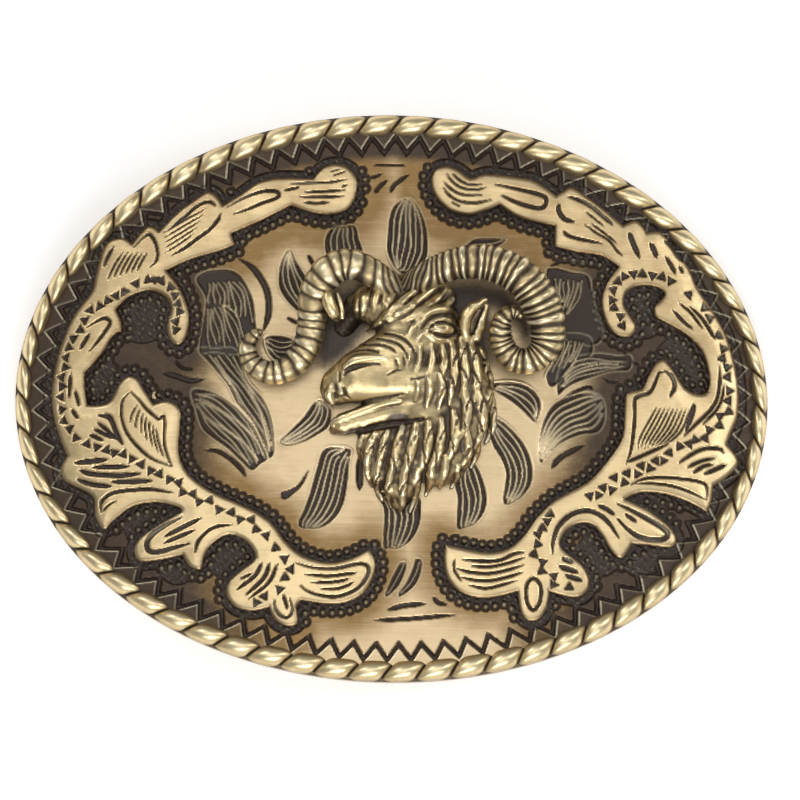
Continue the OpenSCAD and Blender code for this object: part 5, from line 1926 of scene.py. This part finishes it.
    def model(self, clay: Clay) -> None:
        """Builds the masses, lays hair and features on them, and cuts the slits."""
        for part in self.BODY:
            clay.add(np.array(part), self.melt)
        ground = float(bent(0))
        base = ground + self.sink
        tufts = [tuft for lock in self.LOCKS for tuft in self.tufts(self.rows(lock))]
        laid = [clay.on_top(tuft, self.lift + raised, base) for tuft, raised in tufts]
        face = [clay.on_top(self.rows(line), self.lift, base) for line in self.FACE]
        for path in laid:
            clay.add(path, 0.12)
        for path in face:
            clay.add(path, 0.3)
        for part in self.EARS:
            clay.add(spline(np.array(part), 4), 0.3)
        for lock in self.LOCKS:
            for nick in self.nicks(self.rows(lock)):
                clay.cut(clay.on_top(nick, 0.0, ground), 0.1)
        for slit in self.SLITS:
            clay.cut(clay.on_top(self.rows(slit), 0.0, ground), 0.12)

    def roughen(self, clay: Clay) -> None:
        """Cuts the underside to the plate's bend and gives the hair a grainy surface."""
        x, y, z = np.meshgrid(*clay.axes, indexing="ij", sparse=True)
        clay.d = np.maximum(clay.d, bent(x) - self.sink - z)
        hairy = smooth(4.5, 7.5, np.abs(x - 0.5) + 0.9 * np.clip(y - 4, 0, 9)) + smooth(-2.4, -4, y)
        lumps = np.sin(3.1 * x + 1.2 * np.sin(2.2 * y)) * np.sin(2.3 * y + 1.4 * np.sin(1.9 * x + 2 * z))
        lumps = lumps * np.sin(2.7 * z + x)
        clay.d += (self.grit * np.clip(hairy, 0, 1) * lumps).astype(np.float32)

    def paint(self, clay: Clay, points: Array) -> dict[str, Array]:
        """Darkens the crevices with patina, paints shade in the wider hollows, on steep and downward-facing
        walls, at the foot and in the shaded spaces, and rubs bright and paints highlights on upward-facing
        crests.

        Args:
            clay: The head as it is modelled.
            points: The points of its skin.

        Returns:
            Named value per point for the material: patina, painted shade and painted highlights.
        """
        cave = clay.sample(clay.blurred(2), points)
        wide = clay.sample(clay.blurred(5), points)
        rise = clay.sample(np.gradient(clay.d, self.step, axis=2), points)
        low = smooth(2.6, 0.4, points[:, 2] - bent(points[:, 0]))
        # Patina in the crevices, and painted shade in the wider hollows.
        dark = smooth(0.03, -0.1, cave) + 0.8 * smooth(0.12, -0.28, wide)
        # Painted shade on steep and downward-facing walls and near the foot.
        dark = dark + self.shadow * smooth(0.6, 0.0, rise) + 0.35 * low
        # Painted shadow in the shaded spaces.
        for *place, reach in self.SHADED:
            dark = dark + 0.9 * smooth(reach, 0.5 * reach, np.linalg.norm(points - place, axis=1))
        # Painted highlights on upward-facing crests; browner on steep walls and near the foot as painted
        # shade.
        return {"dark": np.minimum(dark, 0.95),
                "shine": smooth(0.03, 0.11, cave) * smooth(0.3, 0.8, rise),
                "tone": 0.15 + 0.4 * low + 0.65 * smooth(0.85, 0.25, rise)}


# ---------- studio ----------

@dataclass(frozen=True)
class Paper:
    """The plain pale floor."""

    name: str = "pale_floor"
    color: Colour = (0.9, 0.9, 0.9, 1)
    glow: float = 0.46

    def make(self) -> bpy.types.Material:
        """Makes the material."""
        material = bpy.data.materials.new(self.name)
        material.use_nodes = True
        shader = material.node_tree.nodes["Principled BSDF"]
        shader.inputs["Base Color"].default_value = self.color
        shader.inputs["Roughness"].default_value = 0.9
        shader.inputs["Emission Color"].default_value = self.color
        shader.inputs["Emission Strength"].default_value = self.glow
        return material


@dataclass
class Studio:
    """Floor, lights and camera, in metres and degrees.

    Args:
        elevation: How high the camera looks down from.
        roll: How far the picture is turned.
        distance: From the camera to the point it looks at.
        view: Width of what the camera sees at that distance.
        aim: The point it looks at.
        floor: Width of the floor.
        sky: Brightness of the room.
        sensor: Width of the camera's sensor in millimetres.
    """

    elevation: float = 84.3
    roll: float = 0.95
    distance: float = 1.4
    view: float = 800 * 95 / 755 * MM
    aim: Place = (1.07 * MM, 0.06 * MM, 8 * MM)
    floor: float = 6.0
    sky: float = 0.26
    sensor: float = 36.0

    def build(self) -> None:
        """Makes everything round the buckle."""
        bpy.ops.mesh.primitive_plane_add(size=self.floor)
        floor = bpy.context.object
        floor.name = "floor"
        floor.data.materials.append(Paper().make())
        world = bpy.data.worlds.new("room")
        bpy.context.scene.world = world
        world.use_nodes = True
        sky = world.node_tree.nodes["Background"]
        sky.inputs["Color"].default_value = (1, 1, 1, 1)
        sky.inputs["Strength"].default_value = self.sky
        self.light("top", (-0.04, 0.02, 1.0), (0.8, 0.85), 1.08)
        self.light("key", (-0.55, 0.5, 0.75), (0.35, 0.35), 4.0)
        self.light("fill", (0.7, 0.15, 0.6), (0.3, 0.6), 3.0)
        self.light("front", (0.1, -0.75, 0.6), (0.9, 0.3), 5.5)
        self.camera()
        view = bpy.context.scene.view_settings
        view.view_transform = "Standard"
        view.look = "None"
        view.exposure = 0.0

    @staticmethod
    def light(name: str, place: Place, size: tuple[float, float],
              glow: float) -> None:
        """Hangs a soft rectangular light aimed at the buckle.

        Args:
            name: Name of the light.
            place: Where it hangs.
            size: Its width and height.
            glow: How bright it looks in a mirror.
        """
        data = bpy.data.lights.new(name, "AREA")
        data.shape, data.size, data.size_y = "RECTANGLE", *size
        data.energy = glow * math.pi * size[0] * size[1]
        lamp = bpy.data.objects.new(name, data)
        lamp.location = place
        lamp.rotation_euler = (-Vector(place)).to_track_quat("-Z", "Y").to_euler()
        lamp.visible_camera = False
        bpy.context.scene.collection.objects.link(lamp)

    def camera(self) -> None:
        """Sets the camera high above the buckle, square to its face."""
        data = bpy.data.cameras.new("camera")
        data.sensor_width = self.sensor
        data.lens = self.sensor * self.distance / self.view
        camera = bpy.data.objects.new("camera", data)
        e, r = math.radians(self.elevation), math.radians(self.roll)
        back = Vector((0, -math.cos(e), math.sin(e)))
        across, above = Vector((1, 0, 0)), Vector((0, math.sin(e), math.cos(e)))
        right = across * math.cos(r) + above * math.sin(r)
        up = above * math.cos(r) - across * math.sin(r)
        camera.matrix_world = Matrix((right, up, back)).transposed().to_4x4()
        camera.location = Vector(self.aim) + back * self.distance
        data.clip_start, data.clip_end = 0.05, 10
        bpy.context.scene.collection.objects.link(camera)
        bpy.context.scene.camera = camera


# ---------- the whole buckle ----------

LEFT_HORN = np.array((
    (0.9, 12.8, 13.4, 1.6), (-1.4, 14.4, 15.2, 1.75), (-3.8, 15.8, 16, 1.85), (-6.2, 16.2, 16, 2),
    (-8.5, 14.9, 15.6, 2.1), (-9.9, 12.2, 15, 1.95), (-10.2, 9, 14.3, 1.8), (-10.8, 6, 13.8, 1.75),
    (-12.6, 3.6, 13.4, 1.65), (-15.2, 2.7, 13.2, 1.5), (-17.4, 3.7, 13, 1.35), (-18.2, 5.8, 12.8, 1.1),
    (-17.4, 7.4, 12.6, .8), (-16.3, 8.1, 12.4, .35),
))
RIGHT_HORN = np.array((
    (1.2, 13.4, 13.6, 1.5), (4.2, 15, 15.8, 1.8), (6.6, 16.1, 16.6, 1.95), (9.4, 16.7, 17.1, 2.2),
    (12.7, 16.4, 17.2, 2.35), (15.9, 14.9, 17, 2.45), (18.2, 12.2, 16.5, 2.45), (19.3, 9.2, 15.8, 2.3),
    (19.2, 6.4, 15.1, 2.05), (17.5, 4.7, 14.7, 1.75), (15.3, 4.8, 14.5, 1.65), (13.9, 6.4, 14.5, 1.6),
    (13.5, 8.3, 14.7, 1.45), (13.9, 9.9, 14.9, 1.2), (14.9, 10.7, 15, .9), (15.8, 10.5, 15, .6),
    (16.2, 9.8, 14.9, .25),
))

def main() -> None:
    """Builds the buckle's looks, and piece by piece."""
    logging.basicConfig(level=logging.INFO, format="%(name)s %(message)s")
    dresser = Dresser()
    dresser.dress_nodes()
    scrolls = (Scroll(Side.LEFT, LEFT_STROKES, (), LEFT_HATCHES, LEFT_PITS),
               Scroll(Side.RIGHT, RIGHT_STROKES, RIGHT_LOOPS, RIGHT_HATCHES, RIGHT_PITS))
    plate = FacePlate(outlines={s.node: s.outline() for s in scrolls})
    horns = (Horn(Side.LEFT, LEFT_HORN, pitch=1.4, sharp=0.45, ridge=0.14, lean=-2.2),
             Horn(Side.RIGHT, RIGHT_HORN, pitch=1.0, sharp=0.75, ridge=0.18, lean=2.6, root=6.5))
    for part in (plate, Rope(), *scrolls, RamHead(), *horns):
        part.dress(part.build(), dresser)
    Studio().build()


if __name__ == "__main__":
    main()
